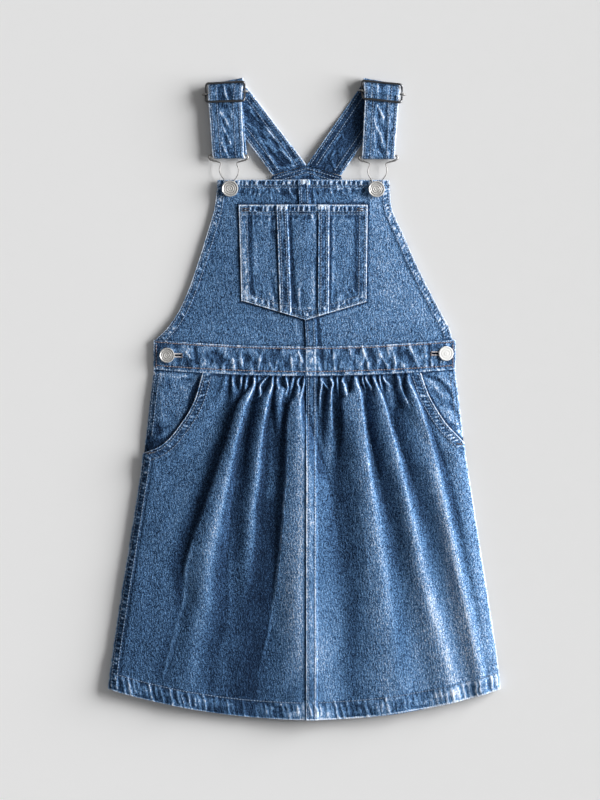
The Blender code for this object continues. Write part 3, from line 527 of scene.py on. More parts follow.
def metal(name, colour, dull, rough, plated=1.0):
    b = Board(name)
    at = b.add("ShaderNodeTexCoord", out="Object")
    fine = b.cloudy(at, 900.0, (1, 1, 0.3), 3.0, 0.6)
    patch = b.cloudy(at, 160.0, detail=2.0)
    shade = b.blend(b.maths("MULTIPLY", patch, 0.9, clamped=True), colour, dull)
    roughness = rough + (fine - 0.5) * 0.2 + (patch - 0.5) * 0.12
    return b.done({"Base Color": shade, "Metallic": plated, "Roughness": roughness,
                   "Normal": b.bump(0.15, 0.0001, fine)})


denimFace = denim("denim", 0.45)
# a darker copy of the denim for the back pieces: painted shade, as they lie behind and under the front
denimShadedBack = denim("denimShadedBack", 0.36)
# a thread's dark tone is also the painted shadow drawn on every other stitch of the seams and waistband
seamThread = thread("seamThread", (0.0, 0.010, 0.030), (0.33, 0.46, 0.66))
bandThread = thread("bandThread", (0.02, 0.02, 0.04), (0.50, 0.43, 0.44))
rustThread = thread("rustThread", (0.04, 0.04, 0.05), (0.20, 0.18, 0.19))
paleThread = thread("paleThread", (0.34, 0.32, 0.34), (0.66, 0.63, 0.64))
buttonMetal = metal("buttonMetal", (0.84, 0.83, 0.81), (0.50, 0.49, 0.48), 0.34, plated=0.62)
brightMetal = metal("brightMetal", (0.80, 0.80, 0.78), (0.68, 0.68, 0.67), 0.50, plated=0.12)
wireMetal = metal("wireMetal", (0.34, 0.33, 0.32), (0.20, 0.20, 0.20), 0.46, plated=0.8)
sliderMetal = metal("sliderMetal", (0.16, 0.16, 0.165), (0.09, 0.09, 0.095), 0.34)
print("finishes ready")


# ---- the dress's outline and main surfaces

dress = dict(
    layer=1.0, double=2.0, gap=0.3, lap=1.3,
    halfWaist=143.0, waistTop=48.6, waistTopRise=6.6, waistLow=21.2, waistLowRise=6.0,
    hemLow=-304.0, hemRise=28.8, halfHem=185.8, hemDepth=17.5,
    sides=[(27, 143.0), (-8, 147.3), (-40, 151.0), (-68, 155.0), (-135, 165.6), (-192, 174.7), (-248, 183.0),
           (-275.2, 185.8)],
    roll=15.0, rollPower=2.4, edgeHigh=3.6, edgeHemRise=2.0,
    waistEndHigh=4.4, waistCrown=3.0, waistRound=45.0, bibSideHigh=3.8, bibCrown=2.4,
    base=[(0, 7.2), (0.10, 7.8), (0.45, 8.8), (0.80, 9.0), (1.0, 8.8)], foldRise=1.30,
    mouth=dict(
        left=[(-96.4, 23.9), (-102.1, 3.1), (-108.8, -12.1), (-118.3, -26.3), (-127.8, -38.2),
              (-138.3, -46.5), (-151.6, -51.5)],
        right=[(109.7, 24.6), (116.4, 5.0), (124.0, -9.2), (133.5, -23.5), (143.0, -33.5), (148.0, -38.5),
               (151.6, -42.5)]),
    mouthShare=0.24, mouthPower=1 / 1.15,
    armhole=dict(
        left=[(-142.0, 54.6), (-129.7, 66.8), (-118.3, 83.9), (-108.8, 105.7), (-99.3, 133.3), (-91.7, 158.0),
              (-86.0, 177.0), (-84.1, 188.4), (-82.2, 206.9)],
        right=[(140.1, 55.2), (137.0, 66.8), (126.8, 86.0), (114.5, 109.7), (103.1, 133.3), (93.6, 155.1),
               (83.6, 177.0), (81.4, 188.4), (80.3, 206.9)]),
    bibTop=206.9, bibHem=12.0, armHem=7.0,
    seamSkirt=6.6, seamTop=-1.0, seamHalf=4.8, lapStep=1.2, lapShy=1.2)
d = dress
# how far the rows of stitches lie in from the edges beside them, and how wide the sewn strips are
strips = dict(mouth=9.6, side=8.2, facing=6.6, pocket=8.0)
sewing = dict(hem=1.4, mouth=(2.4, 8.4), side=(2.2, 7.2), facing=(2.0, 5.8), centre=1.9, bandTop=1.5,
              bandLow=4.2, bibTop=(4.9, 7.0), armhole=(1.8, 6.8), pocket=(1.9, 7.0), pocketTop=(6.2, 8.6),
              pocketStrip=2.2, backBib=(2.4, 6.2), strap=(2.3, 7.6))


def waistTop(x):
    return d["waistTop"] + d["waistTopRise"] * (x / d["halfWaist"]) ** 2


def waistLow(x):
    return d["waistLow"] + d["waistLowRise"] * (x / d["halfWaist"]) ** 2


def hemLow(x):
    return d["hemLow"] + d["hemRise"] * (x / d["halfHem"]) ** 2


def halfWidth(y):
    return read(d["sides"], y)


def skirtShare(x, y):
    return clamp((waistLow(x) - y) / (waistLow(x) - hemLow(x)))


def seamMiddle(y):
    return mix(d["seamSkirt"], d["seamTop"], clamp((y - d["waistTop"]) / (d["bibTop"] - d["waistTop"])))


def waistHigh(x):
    away = clamp((d["halfWaist"] - abs(x)) / d["waistRound"])
    return d["waistEndHigh"] + d["waistCrown"] * (1 - (1 - away) ** 2)


# ---- skirt: folds from left to right. First how far down the step at the foot of the left slope goes (None
# for no step); then each row: how far up, where the crest is, width of its left and right slopes, height
pleats = [
    (None, [(19, -75, 2.8, 3.3, 1), (12, -75.6, 4.8, 3.8, 1.1), (4, -76.5, 7.6, 4.8, 0.9),
        (-8, -78, 8, 6, 0)]),
    (None, [(20, -68.4, 1.9, 2.4, 1.6), (13.6, -68, 2.8, 3.3, 2), (8, -67, 4.3, 5.2, 2),
        (2, -67, 4.8, 5.7, 1.6), (-5, -68, 5.7, 5.2, 1), (-17, -70.8, 5.7, 3.8, 0.4), (-26, -73, 5, 4, 0)]),
    (None, [(20, -60.1, 2.2, 1.6, 1.8), (13.6, -60.4, 1.9, 2.2, 2), (8, -61.3, 1.9, 1.9, 1.2),
        (3, -62, 2, 2, 0)]),
    (None, [(21, -54.2, 2.4, 1.9, 2), (15.5, -55.3, 2.2, 2.1, 2.6), (10, -56.1, 2.4, 2.8, 2.4),
        (4, -57.5, 2.2, 3, 0.5), (1, -58, 2, 3, 0)]),
    (-200, [(21, -47.8, 2.2, 1.8, 2.6), (13.5, -47.5, 2.6, 2, 3.4), (8, -49.8, 4.8, 3.4, 4.2),
        (-1.6, -55, 6.8, 5.2, 5.4), (-13, -59.8, 6.7, 7.4, 6), (-26, -62.3, 8, 6.4, 6.4),
        (-41.5, -66.5, 8.5, 6.8, 6.5), (-58.5, -70.6, 10.6, 8.5, 6.5), (-77.5, -75, 12, 10, 6.2),
        (-106, -82, 15, 12.5, 5.8), (-134.5, -89.8, 18, 18, 5), (-163, -94.5, 21, 20, 4),
        (-191.5, -96.5, 21, 22, 3), (-220, -103, 22, 25, 2), (-248.5, -109, 25.5, 24, 1.4),
        (-286, -113.5, 26, 24, 0.9)]),
    (None, [(19, -43.5, 1.6, 1.5, 1.5), (15.5, -44, 1.4, 1.4, 0.6), (13, -44, 1.4, 1.4, 0)]),
    (None, [(21, -34.7, 1.9, 1.9, 1.6), (17.4, -38, 2.4, 2.4, 2.2), (13.6, -41.2, 2.3, 2.2, 2.6),
        (10, -42.5, 1.9, 2.1, 2.6), (6, -42.3, 2.4, 3.8, 2.8), (0, -43, 3, 5, 1.5), (-6, -43.5, 3, 5, 0)]),
    (None, [(21, -30.3, 2.2, 1.9, 2.6), (13.5, -30.5, 3.8, 1.9, 3.4), (8, -32, 6, 2.9, 4.2),
        (-1.6, -35.2, 11.5, 4.7, 5), (-13, -37.5, 11.3, 4.3, 5.4), (-26, -39.8, 12.5, 4.2, 5.2),
        (-41.5, -42.2, 13, 5.5, 4.8), (-58.5, -44.5, 13, 7, 4.4), (-77.5, -46.4, 14, 9, 3.8),
        (-106, -50.5, 15, 10, 3), (-134.5, -52.7, 12.4, 12.4, 2.2), (-163, -54.6, 13.3, 12.4, 1.2),
        (-191.5, -56.5, 12.5, 12, 0.5), (-220, -58.5, 12, 12, 0.2)]),
    (None, [(21, -26.1, 1.6, 2.4, 2), (15.5, -26.2, 1.9, 3.3, 2.4), (9, -25, 3, 4.8, 2.4),
        (3, -24, 4, 5, 0)]),
    (-60, [(12, -22, 5, 7, 0), (8, -22.3, 6, 7.6, 3), (-1.6, -24, 5, 6.2, 3), (-13, -24.3, 4.3, 5.7, 2.6),
        (-26, -24.3, 4.3, 5.2, 1.4), (-41.5, -24.3, 3.8, 4.8, 0.5), (-55, -24.3, 3.8, 4.8, 0)]),
    (None, [(21, -18.3, 1.7, 1.6, 2.2), (15.5, -16.8, 1.7, 1.5, 2.7), (9.8, -15.9, 2.4, 1.4, 2.6),
        (5, -17.5, 4, 2.4, 2.6), (0, -18, 4, 2.4, 0)]),
    (None, [(19, -11, 2.1, 2.2, 2), (13.6, -11.9, 2.4, 2.4, 2.2), (8, -13.3, 1.9, 2.1, 1.8),
        (2, -14.5, 1.4, 1.4, 0.8), (-1, -15, 1.2, 1.2, 0)]),
    (None, [(21, -3.5, 1.7, 1.4, 2), (17.4, -6.2, 2.1, 1.9, 2.4), (13.6, -6.6, 2.3, 1.9, 2.4),
        (9.8, -5.5, 4, 3.3, 3), (4, -6, 6.5, 4, 3.2), (-2, -5.5, 7.5, 4.5, 3), (-8, -5, 8, 5, 0)]),
    (-240, [(21, -0.3, 1.5, 1.3, 2), (13.5, -0.8, 1.6, 1.4, 2.6), (8, -2.1, 2.6, 2.1, 3),
        (2, -3.2, 6, 2.6, 3.6), (-1.6, -5, 8.5, 5, 4.2), (-13, -5.2, 11.4, 6.6, 5),
        (-26, -4.3, 13.8, 9.5, 5.3), (-41.5, -3.3, 15.2, 14.2, 5.5), (-58.5, -2.4, 16.6, 19, 5.6),
        (-77.5, -1.9, 17.6, 24.2, 5.6), (-106, -2.4, 19, 30.4, 5.6), (-134.5, -3.3, 20, 35, 5.6),
        (-163, -4.3, 22.3, 38, 5.2), (-191.5, -5.2, 25, 41.8, 4.8), (-220, -4.3, 30, 42.8, 4.2),
        (-248.5, -2.4, 37.5, 41.8, 3.4), (-286, 0.4, 46.5, 40.8, 2.6)]),
    (None, [(19, 15.2, 2.4, 2.4, 1.5), (13.6, 16.1, 2.8, 2.4, 2.2), (8, 15.2, 2.4, 2.4, 2.2),
        (-1.6, 14.2, 2, 2.4, 1.8), (-13, 13.8, 1.9, 2.8, 0.8), (-20, 13.8, 1.9, 2.8, 0)]),
    (None, [(16.5, 16.6, 1.4, 1.4, 1.5), (15.5, 17.1, 1.4, 1.4, 2), (11.7, 19.9, 1.9, 1.5, 2),
        (8.8, 22.3, 1.9, 1.5, 1.6), (6.5, 24, 1.9, 1.5, 0)]),
    (None, [(19, 24.4, 1.8, 1.9, 1.6), (17.4, 25.1, 1.9, 2.4, 2), (13.6, 26.6, 1.9, 1.9, 2.8),
        (8, 25.3, 2.8, 2, 3.5), (-1.6, 25.2, 5.4, 2, 4), (-13, 25.2, 7, 2.4, 3.6), (-26, 25.4, 8.4, 3, 2.6),
        (-41.5, 24, 7.4, 5, 1.2), (-55, 23, 6, 7, 0)]),
    (None, [(21, 30.4, 1.5, 1.5, 1.8), (13.6, 30.9, 1.4, 1.5, 2), (8, 31.3, 1.4, 1.4, 1.6),
        (0, 32, 1.4, 1.2, 0)]),
    (None, [(21, 37, 2.4, 2, 2.2), (15.5, 35.5, 1.6, 3, 2.6), (13.6, 37, 3.3, 3.8, 3), (8, 38, 4.3, 4.3, 3.6),
        (2, 39.4, 5.2, 6.6, 3.6), (-6, 40, 5, 6, 2), (-12, 40, 5, 6, 0)]),
    (-62, [(21, 47.5, 2.4, 2.9, 2), (13.6, 49.2, 4.3, 3.5, 3.4), (8, 51.5, 8, 3.6, 4.4),
        (2, 52.5, 15.5, 3.9, 5), (-1.6, 53, 18.8, 3, 5.2), (-13, 54.6, 19.6, 3, 5.8), (-26, 56, 20, 3.2, 6.2),
        (-41.5, 57.2, 23, 5, 6.4), (-58.5, 59, 28, 6.6, 6.3), (-77.5, 61.5, 32, 8.6, 6.1),
        (-106, 64.5, 35, 14, 5.6), (-134.5, 68, 36, 19, 5), (-163, 71, 37, 20, 4.3),
        (-191.5, 74.5, 40, 20, 3.6), (-220, 79.3, 45, 20, 3), (-248.5, 83.1, 48, 21.9, 2.4),
        (-286, 88.8, 50, 20.9, 1.8)]),
    (None, [(21, 55, 1.4, 1.4, 1.4), (17, 54.7, 1.4, 1.5, 1.8), (12.5, 56, 1.5, 1.5, 1.6),
        (9, 57.5, 1.4, 1.4, 0.8), (7, 58.5, 1.4, 1.4, 0)]),
    (None, [(19, 57.7, 1.6, 1.7, 2), (15.5, 59.2, 2.2, 2.1, 2.4), (11.7, 61.7, 3.3, 2.4, 2.6),
        (6, 64, 4, 3, 1.5), (2, 66, 4, 3, 0)]),
    (None, [(21, 64.5, 2.2, 2.6, 2), (15.5, 66.7, 2.6, 2.2, 3), (11.7, 68.3, 5, 2.9, 3.8),
        (8, 69.9, 8.6, 3.3, 4.4), (-1.6, 74, 16, 2.8, 5), (-13, 77.4, 18, 2.8, 5.3),
        (-26, 80.6, 20, 3.4, 5.5), (-41.5, 84.1, 21, 5.2, 5.6), (-58.5, 88, 21, 7, 5.6),
        (-77.5, 92.2, 21, 9, 5.5), (-106, 98, 20, 12, 5), (-134.5, 104, 19, 15, 4.4),
        (-163, 109.5, 20, 17, 3.8), (-191.5, 116.5, 22, 17, 3.2), (-220, 124, 24.2, 16.6, 2.7),
        (-248.5, 131.6, 23.8, 16.2, 2.3), (-286, 140.1, 24.7, 15.2, 1.8)]),
    (None, [(21, 70.8, 1.4, 1.4, 1.6), (15.5, 71.5, 1.5, 1.4, 1.8), (9.8, 72.7, 1.4, 1.4, 1.2),
        (6, 73.5, 1.4, 1.4, 0)]),
    (None, [(21, 74.1, 1.4, 1.9, 1.5), (17.4, 75.2, 2.1, 2.2, 1.8), (13.6, 78.8, 4.3, 3.3, 1.8),
        (8, 79.3, 3.8, 5.7, 0.9), (2, 80, 4, 5, 0)]),
    (None, [(23, 86.9, 2.8, 2.4, 1.5), (17.4, 89.3, 3.3, 2.4, 2.2), (9.8, 90.7, 5.7, 2.4, 2.4),
        (4, 93.1, 6.2, 2.4, 2), (-1.6, 95.9, 7.5, 2.6, 2.8), (-7, 98.3, 7.5, 3, 2.8),
        (-13, 101.2, 8, 3.4, 2.6), (-20, 105, 8, 4, 1.6), (-28, 109, 8, 4, 0)]),
    (None, [(23, 97.4, 1.9, 2.4, 1.8), (15.5, 98.3, 3.8, 3.3, 2.6), (8, 101.6, 7.1, 3.8, 3),
        (-1.6, 106, 14, 3.6, 3.2), (-13, 110.4, 25, 4, 3.4), (-26, 114, 28, 4.5, 3.6),
        (-41.5, 118, 28.5, 6, 4), (-58.5, 122, 27, 8, 4.2), (-77.5, 126, 24, 10, 4.4),
        (-106, 132.5, 20, 11, 4.4), (-134.5, 139, 18, 10, 4.2), (-163, 145, 17, 10, 3.8),
        (-191.5, 151, 17, 10, 3.4), (-220, 158, 17, 9, 3), (-248.5, 163.5, 15, 8.6, 2.6),
        (-286, 170.5, 13.3, 7.6, 2)]),
]
# long faint creases on the folds: points, width, height
creases = [
    ([(-105, -134), (-112.5, -163), (-114, -191), (-122, -220), (-130, -248), (-136, -272)], 1.5, 0.3, 0.7),
    ([(-18.5, -77), (-20.5, -106), (-22.5, -134), (-26, -163), (-30, -191), (-34, -220), (-40.5, -248),
      (-46, -272)], 1.1, 0.4, 0.7),
    ([(50, -96), (58, -140), (62, -190)], 1.3, 0.2, 0.1),
    ([(140, -150), (152, -200), (163, -256)], 1.3, 0.2, 0.3),
]


# broad places on the folds painted paler and darker, partly wear and dye, partly painted light and shade:
# middle, half width, half height, how pale, how deep
shades = [
    (-16, -150, 8, 80, 0.22, 0), (-76, -108, 8, 42, 0.26, 0), (-31, -46, 7, 20, 0, 0.5),
    (-107, -172, 9, 22, 0.28, 0), (-122, -230, 9, 20, 0.28, 0), (124, -108, 14, 38, 0.26, 0),
    (90, -225, 8, 60, 0, 0.42), (45, -215, 9, 50, 0, 0.34), (16, -190, 12, 60, 0, 0.30),
    (8, -278, 12, 22, 0, 0.75), (12, -150, 9, 70, 0, 0.22), (-10, -282, 10, 14, 0, 0.4)]
# long crests painted pale and hollows painted dark on the lower skirt, partly wear and dye, partly painted
# light and shade: line, half width, how pale, how deep, top, how soon full, foot
lowLines = [
    ([(-120, 134), (-163, 138), (-192, 143), (-220, 148), (-260, 156)], 9, 0.28, 0, -115, 20, -400),
    ([(-163, 114), (-192, 121), (-220, 127.5), (-248, 135.5), (-275, 143)], 6, 0.36, 0, -165, 30, -400),
    ([(-106, -80), (-135, -88), (-163, -92), (-192, -95), (-220, -101)], 10, 0.20, 0, -100, 30, -400),
    ([(-90, -32), (-106, -34.7), (-135, -34.7), (-163, -39.5), (-192, -45), (-230, -52)],
     9, 0, 0.62, -85, 20, -235)]
foldFoot = [(-106, -21.5), (-163, -26.6), (-220, -34.3), (-286, -46)]       # left of it lies a deep hollow, painted dark as the fold's shadow


def foldHigh(x, y):
    top = ease((y + 110) / 110)
    rows = []
    for step, spots in pleats:
        at, left, right, high = (read([(r[0], r[k]) for r in spots], y) for k in (1, 2, 3, 4))
        off = x - at
        t = clamp(np.where(off < 0, (off + left) / left, (right - off) / right))
        rise = 1 - (1 - t) ** 2
        cliff = np.zeros(np.shape(x)) if step is None else ease((y - step) / 45)
        if step is not None:               # a step at the foot of the left slope, then a gentle rise
            rise = np.where(off < 0, mix(rise, 0.70 * ease(t * left / 1.8) + 0.30 * rise, cliff), rise)
        blunt = ease((mix(-25, -90, cliff) - y) / mix(100, 150, cliff))
        form = mix(rise, 0.5 - 0.5 * np.cos(math.pi * t), blunt)
        rows.append((cliff, off, left, right, np.maximum(high, 0) * d["foldRise"], t, form))
    total = np.maximum.reduce([r[4] * r[6] for r in rows])
    # painted highlight on each fold's crest and lit right side, partly crest wear; painted shade on the flank
    # turned from the light, on the flank in the next fold's shadow, and in the fold's own shadow beside its
    # foot
    worn, shadeAndDye = np.zeros(np.shape(x)), np.zeros(np.shape(x))
    for cliff, off, left, right, high, t, form in rows:
        own = high * form
        leads = ease((own - total + 0.9) / 0.9) * ease(own / 0.3) * clamp(high / 2.4)
        beyond = off - 0.30 * right
        line = near(beyond, mix(3.0, 0.9, top) * np.where(beyond < 0, 1.5, 0.8))
        broad = np.where(off < 0, t ** 2, ease((t - 0.45) / 0.5))
        crest = line * mix(0.12, 0.80, ease((y + 25) / 42)) + 0.42 * broad * clamp(high / 5)
        worn = np.maximum(worn, leads * crest)
        flankShade = np.where(off < 0, mix(0.90 * (1 - t) ** 1.2, 0.20 * (1 - t) ** 2, cliff) * (off > -left),
                         0.95 * ease((0.9 - t) / 0.7) * ease(1 - (off - right) / 6))
        shadeAndDye = np.maximum(shadeAndDye, ease((own - total + 0.9) / 0.9) * clamp(high / 2.4) * flankShade)
        foot = -off - left                  # the hollow before the foot of the left slope, painted dark as the fold's shadow
        reach = mix(8.0, mix(20.0, 16.0, top), cliff)
        footShadow = ease(1 - foot / reach) * (foot > -0.3) * clamp(1.6 - 1.6 * total / (high + 0.1))
        shadeAndDye = np.maximum(shadeAndDye, clamp(high / 4.0) * footShadow)
    return total, worn, shadeAndDye


def sideHigh(x, y, folds):
    share = skirtShare(x, y)
    inside = halfWidth(y) - abs(x)
    roundOff = 1 - (1 - clamp(inside / d["roll"])) ** d["rollPower"]
    base = np.minimum(read(d["base"], share), mix(waistHigh(x), 20.0, share / 0.3))
    edge = d["edgeHigh"] + d["edgeHemRise"] * ease((share - 0.84) / 0.08)
    return edge + (base - edge + folds) * roundOff


def skirtHigh(x, y, side):      # form of a front half, with its crests painted pale, partly wear and partly painted light, and its creases and shaded flanks painted dark as shade and dye
    folds, worn, shadeAndDye = foldHigh(x, y)
    folds = folds * mix(0.75, 1.0, ease((waistLow(x) - y) / 9))
    off, _ = distance(d["mouth"][side], x, y)
    behind = 1 - ease((off - 14.5) / 14.0)
    return sideHigh(x, y, folds) + (d["lap"] + 0.5) * behind, worn, shadeAndDye


def skirtFace(x, y, side):
    high, worn, shadeAndDye = skirtHigh(x, y, side)
    face = Face(x)
    down = waistLow(x) - y
    low = ease((-y - 110) / 110)
    fade = mix(1.0, 0.45, low) * mix(1.0, mix(0.90, 0.42, low), ease(x / 100) * ease((-y - 60) / 60))
    # wide soft unevenness, with the cloth painted paler on the right as painted light from that side
    face.lift += (0.50 * rumple(x / 26, y / 44, 3) + 0.30 * rumple(x / 9, y / 17, 5)) * ease(down / 30)
    face.wear += 0.10 * rumple(x / 12, y / 30, 9) + 0.10 * ease(x / 130 + 0.1)
    face.wear += worn * (0.52 + 0.6 * noise(x / 3, y / 9, 8)) * mix(1.0, 0.5, low)
    # painted light: a broad pale band by the middle of the lower skirt, and paler cloth low on the right
    face.wear += mix(0.44, 0.54, low) * near(x - mix(4, 14, low), mix(15, 27, low)) * ease((-y - 15) / 40)
    face.wear += 0.22 * low * ease((x - 50) / 70)
    for line, wide, pale, dark, top, soon, foot in lowLines:
        spot = near(x - read(line, y), wide) * ease((top - y) / soon) * ease((y - foot) / 40)
        face.wear += pale * spot
        face.deep += dark * spot
    for atX, atY, wide, tall, pale, dark in shades:
        spot = near(x - atX, wide) * near(y - atY, tall)
        face.wear += pale * spot
        face.deep += dark * spot
    # painted shade: the long shadow left of a fold's foot, darker low on the left, and a dark band near x 46
    before = read(foldFoot, y) - x
    face.deep += low * (0.16 * ease((-x - 10) / 40) + 0.80 * ease(1 - before / 62) * (before > 0)
                        + 0.26 * near(x - 46, 9))
    # painted shade on the fold flanks, less of it where a lit patch lies, low down and on the right
    lit = near(x - 18, 11) * ease((-y - 60) / 40)
    face.deep += 1.08 * clamp(shadeAndDye) * (0.75 + 0.4 * noise(x / 5, y / 16, 10)) * fade * (1 - 0.6 * lit)
    # painted shade: darker towards the left, away from the light
    face.deep += 0.22 * ease((20 - x) / 150)
    # painted shadow under the waistband's edge, with no pale marks in it
    under = ease(1.3 - down / 2.4)
    face.wear *= 1 - under
    face.deep += 1.3 * under
    for points, width, height, pale in creases:
        off, place = distance(points, x, y)
        long = distance(points, *points[-1])[1]
        line = near(off, width) * ease(place / 14) * ease((long - place) / 14)
        face.lift += height * line
        face.wear += 0.7 * pale * line * (0.5 + noise(place / 7, 0, 14))
    # hem
    up = y - hemLow(x)
    hem = d["hemDepth"]
    rightwards = ease((x + 40) / 60)
    face.lift += 0.5 * upTo(up, hem, 1.2)
    face.ropes(x, up, hem, 5.2, 0.22, 0.75, 21, mix(0.85, 0.66, rightwards))
    face.deep += 0.16 * rightwards * upTo(up, hem, 1.2)
    face.sewn(up, [hem - sewing["hem"]], 0.35)
    face.edge(up, x, 23, 1.8, 0.8)
    # pocket mouth's stitched band
    off, place = distance(d["mouth"][side], x, y)
    seed = 25 if side == "left" else 27
    face.lift += 0.35 * upTo(off, strips["mouth"], 1.0)
    face.mottle(place, off, strips["mouth"], seed, 0.75)
    face.deep += 0.25 * ease((strips["mouth"] - 0.6 - off) / 1.5)
    face.beads(place, off, 2.2, 7.8, 3.4, seed + 1, 0.85, 0.5)
    face.sewn(off, sewing["mouth"])
    face.edge(off, place, 29, 1.4, 1.15)
    # side seam
    inside = halfWidth(y) - signs[side] * x
    strip, wide = Face(x), strips["side"]
    if side == "left":
        strip.lift += 0.45 * upTo(inside, wide, 0.9)
        strip.mottle(y, inside, wide, 31, 0.6)
        strip.beads(y, inside, 2.6, 6.6, 3.6, 32, 0.8, 0.3)
        strip.wear += 0.7 * near(inside - wide, 0.9) * noise(y / 2.0, 0, 34)
        strip.deep += 0.5 * near(inside - wide - 1.6, 1.3)
        strip.sewn(inside, sewing["side"])
    strip.edge(inside, y, 33, 2.0, 1.1)
    face.add(strip, ease((d["mouth"][side][-1][1] + 4 - y) / 3))
    centre(face, x, y, side, 35, 0.0)
    return high, face


def centre(face, x, y, side, seed, shade, pale=1.0):     # the felled strip, lapped by the right half
    off = x - seamMiddle(y)
    half = d["seamHalf"]
    if side == "left":
        # painted shadow of the lapped strip on the half beside it
        face.deep += 1.3 * near(off + half + 1.0, 1.7)
        return
    row = half - sewing["centre"]
    face.lift += d["lap"] * ease((half + d["lapStep"] - off) / d["lapStep"])
    face.mottle(y, off + half, half * 2, seed, 0.32)
    face.deep += 0.14 * ease(half - abs(off) + 0.5) * pale
    face.sewn(off, (-row, row), 0.22, 0.7)
    face.deep += shade * near(off - half - 2.6, 1.9)
    face.edge(off + half, y, seed + 1, 1.1, 0.42 * pale)
    face.edge(abs(off - half + 1.1), y, seed + 2, 0.9, 0.35 * pale)


def rowsOf(spacing):        # shares from 0 to 1 whose steps follow a wished spacing
    at = np.linspace(0, 1, 2001)
    gone = np.append(0, np.cumsum(np.diff(at) / ((spacing(at[1:]) + spacing(at[:-1])) / 2)))
    count = 2 * int(round(gone[-1] / 2))
    return np.interp(np.linspace(0, gone[-1], count + 1), gone, at)


def skirtFront(side):
    sign = signs[side]
    mouth = d["mouth"][side]
    hemSide = hemLow(d["halfHem"])
    long = d["waistLow"] - d["hemLow"]
    share = rowsOf(lambda s: mix(mix(0.62, 1.12, ease(s / 0.2)), 0.85, ease((s - 0.9) / 0.1)) / long)
    onMouth = share < d["mouthShare"]
    t = clamp(share / d["mouthShare"]) ** d["mouthPower"]
    mouthX, mouthY = along(mouth, t)
    t = (share - d["mouthShare"]) / (1 - d["mouthShare"])
    sideY = mix(mouth[-1][1], hemSide, t)
    edgeX = np.where(onMouth, mouthX, sign * halfWidth(sideY))
    edgeY = np.where(onMouth, mouthY, sideY)
    edgeY[0] = waistLow(edgeX[0]) - d["gap"]
    middle, half = d["seamSkirt"], d["seamHalf"]
    if side == "left":
        x = spread([(edgeX, 8), (edgeX + 3.2, 172), (middle - half - 1.5, 4), (middle - half + 1.5, 2),
                    (middle + half - d["lapShy"] + edgeX * 0, 1)])
    else:
        x = spread([(middle - half + edgeX * 0, 14), (middle + half, 2), (middle + half + d["lapStep"], 166),
                    (edgeX - 3.2, 8), (edgeX, 1)])
    bend = clamp((x - middle) / (edgeX[:, None] - middle)) ** 2
    middleY = mix(d["waistLow"] - d["gap"], d["hemLow"], share)
    y = mix(middleY[:, None], edgeY[:, None], bend)
    x, y = x[::-1], y[::-1]
    high, face = skirtFace(x, y, side)
    hemmed = ease((d["hemDepth"] - (y - hemLow(x))) / 1.5)
    carried = 0.0
    if side == "right":
        off = middle + half + d["lapStep"] - x
        hemmed = hemmed * (off < 0.1)
        carried = d["lap"] * ease(off / d["lapStep"])
    return shell("skirtFront" + side.title(), np.dstack([x, y, high + carried]), face.lift - carried,
                 mix(d["layer"], 1.9, hemmed), face, denimFace)


skirt = {side: skirtFront(side) for side in ("left", "right")}
print("skirt front done")

# ---- pieces behind the pocket mouths
facingLook = dict(under=13.0, underLow=6.0, end=0.90, shy=0.5, rows=120, across=90)
facingCreases = dict(left=[
    (-133.5, 20, -110.5, 20, 1.2, 0.6), (-136.5, 23, -136.5, 13.5, 0.9, 0.6),
    (-116.5, 11.5, -112.5, 2, 3, 0.3), (-137.5, -37, -120, -24.5, 2.2, 0.45),
    (-136.5, -8, -133.5, -19.5, 1.5, 0.35), (-136.5, 6, -135.5, -5.5, 1.2, 0.4),
    (-129.5, 19.5, -128, 10, 1.8, -0.6), (-115.5, 18.5, -107, 17.5, 1.6, -0.6),
    (-110, 21, -99.5, 21, 1.5, -0.5), (-140, -25.5, -137.5, -34, 2.5, -0.9),
    (-137.5, -28, -126, -28, 2.5, -0.5), (-148.5, -45.5, -135.5, -39.5, 2.5, -0.7),
    (-126, -13, -122, -24.5, 3, -0.35), (-147, -32, -147, -45.5, 2.5, -0.6)],
    right=[
    (117.5, 17.5, 125, 10, 1.5, 0.5), (125, 10, 134.5, -3.5, 1.8, 0.4), (128.5, 21, 138, 13.5, 2, 0.5),
    (138, 13.5, 142, 0.5, 1.5, 0.4), (134.5, -11, 144, -20.5, 1.6, 0.5), (128.5, -9, 140, -22.5, 1.5, 0.4),
    (144, -24.5, 149.5, -36, 1.5, 0.7), (140, -26.5, 146, -32, 1, 0.6), (113.5, 23, 117.5, 19.5, 1.8, -0.9),
    (119, 21, 127, 17.5, 1.6, -0.7), (127, 17.5, 134.5, 10, 1.8, -0.7), (134.5, 10, 140, 0.5, 1.6, -0.8),
    (138, -3.5, 144, -13, 1.4, -0.8), (121, 8, 128.5, -1.5, 2, -0.4), (132.5, -1.5, 140, -9, 1.8, -0.7),
    (140, -9, 147.5, -19.5, 1.4, -0.9), (139, -23.5, 142, -29, 1.6, -1), (143, -25.5, 146, -28, 1, -0.8),
    (125, -11, 130.5, -20.5, 2, -0.3), (147.5, -20.5, 148.5, -32, 1.2, -0.5)])


# how far the shadow under the pocket mouth reaches, from the waist down
shadowReach = dict(left=[(0, 1.6), (8, 3.5), (15, 5.6), (24, 6.2), (31, 5.0), (38, 2.8), (75, 2.4)],
                   right=[(0, 1.6), (40, 2.2), (75, 1.8)])


def facingHigh(x, y):
    return sideHigh(x, y, 0.0) - facingLook["shy"]


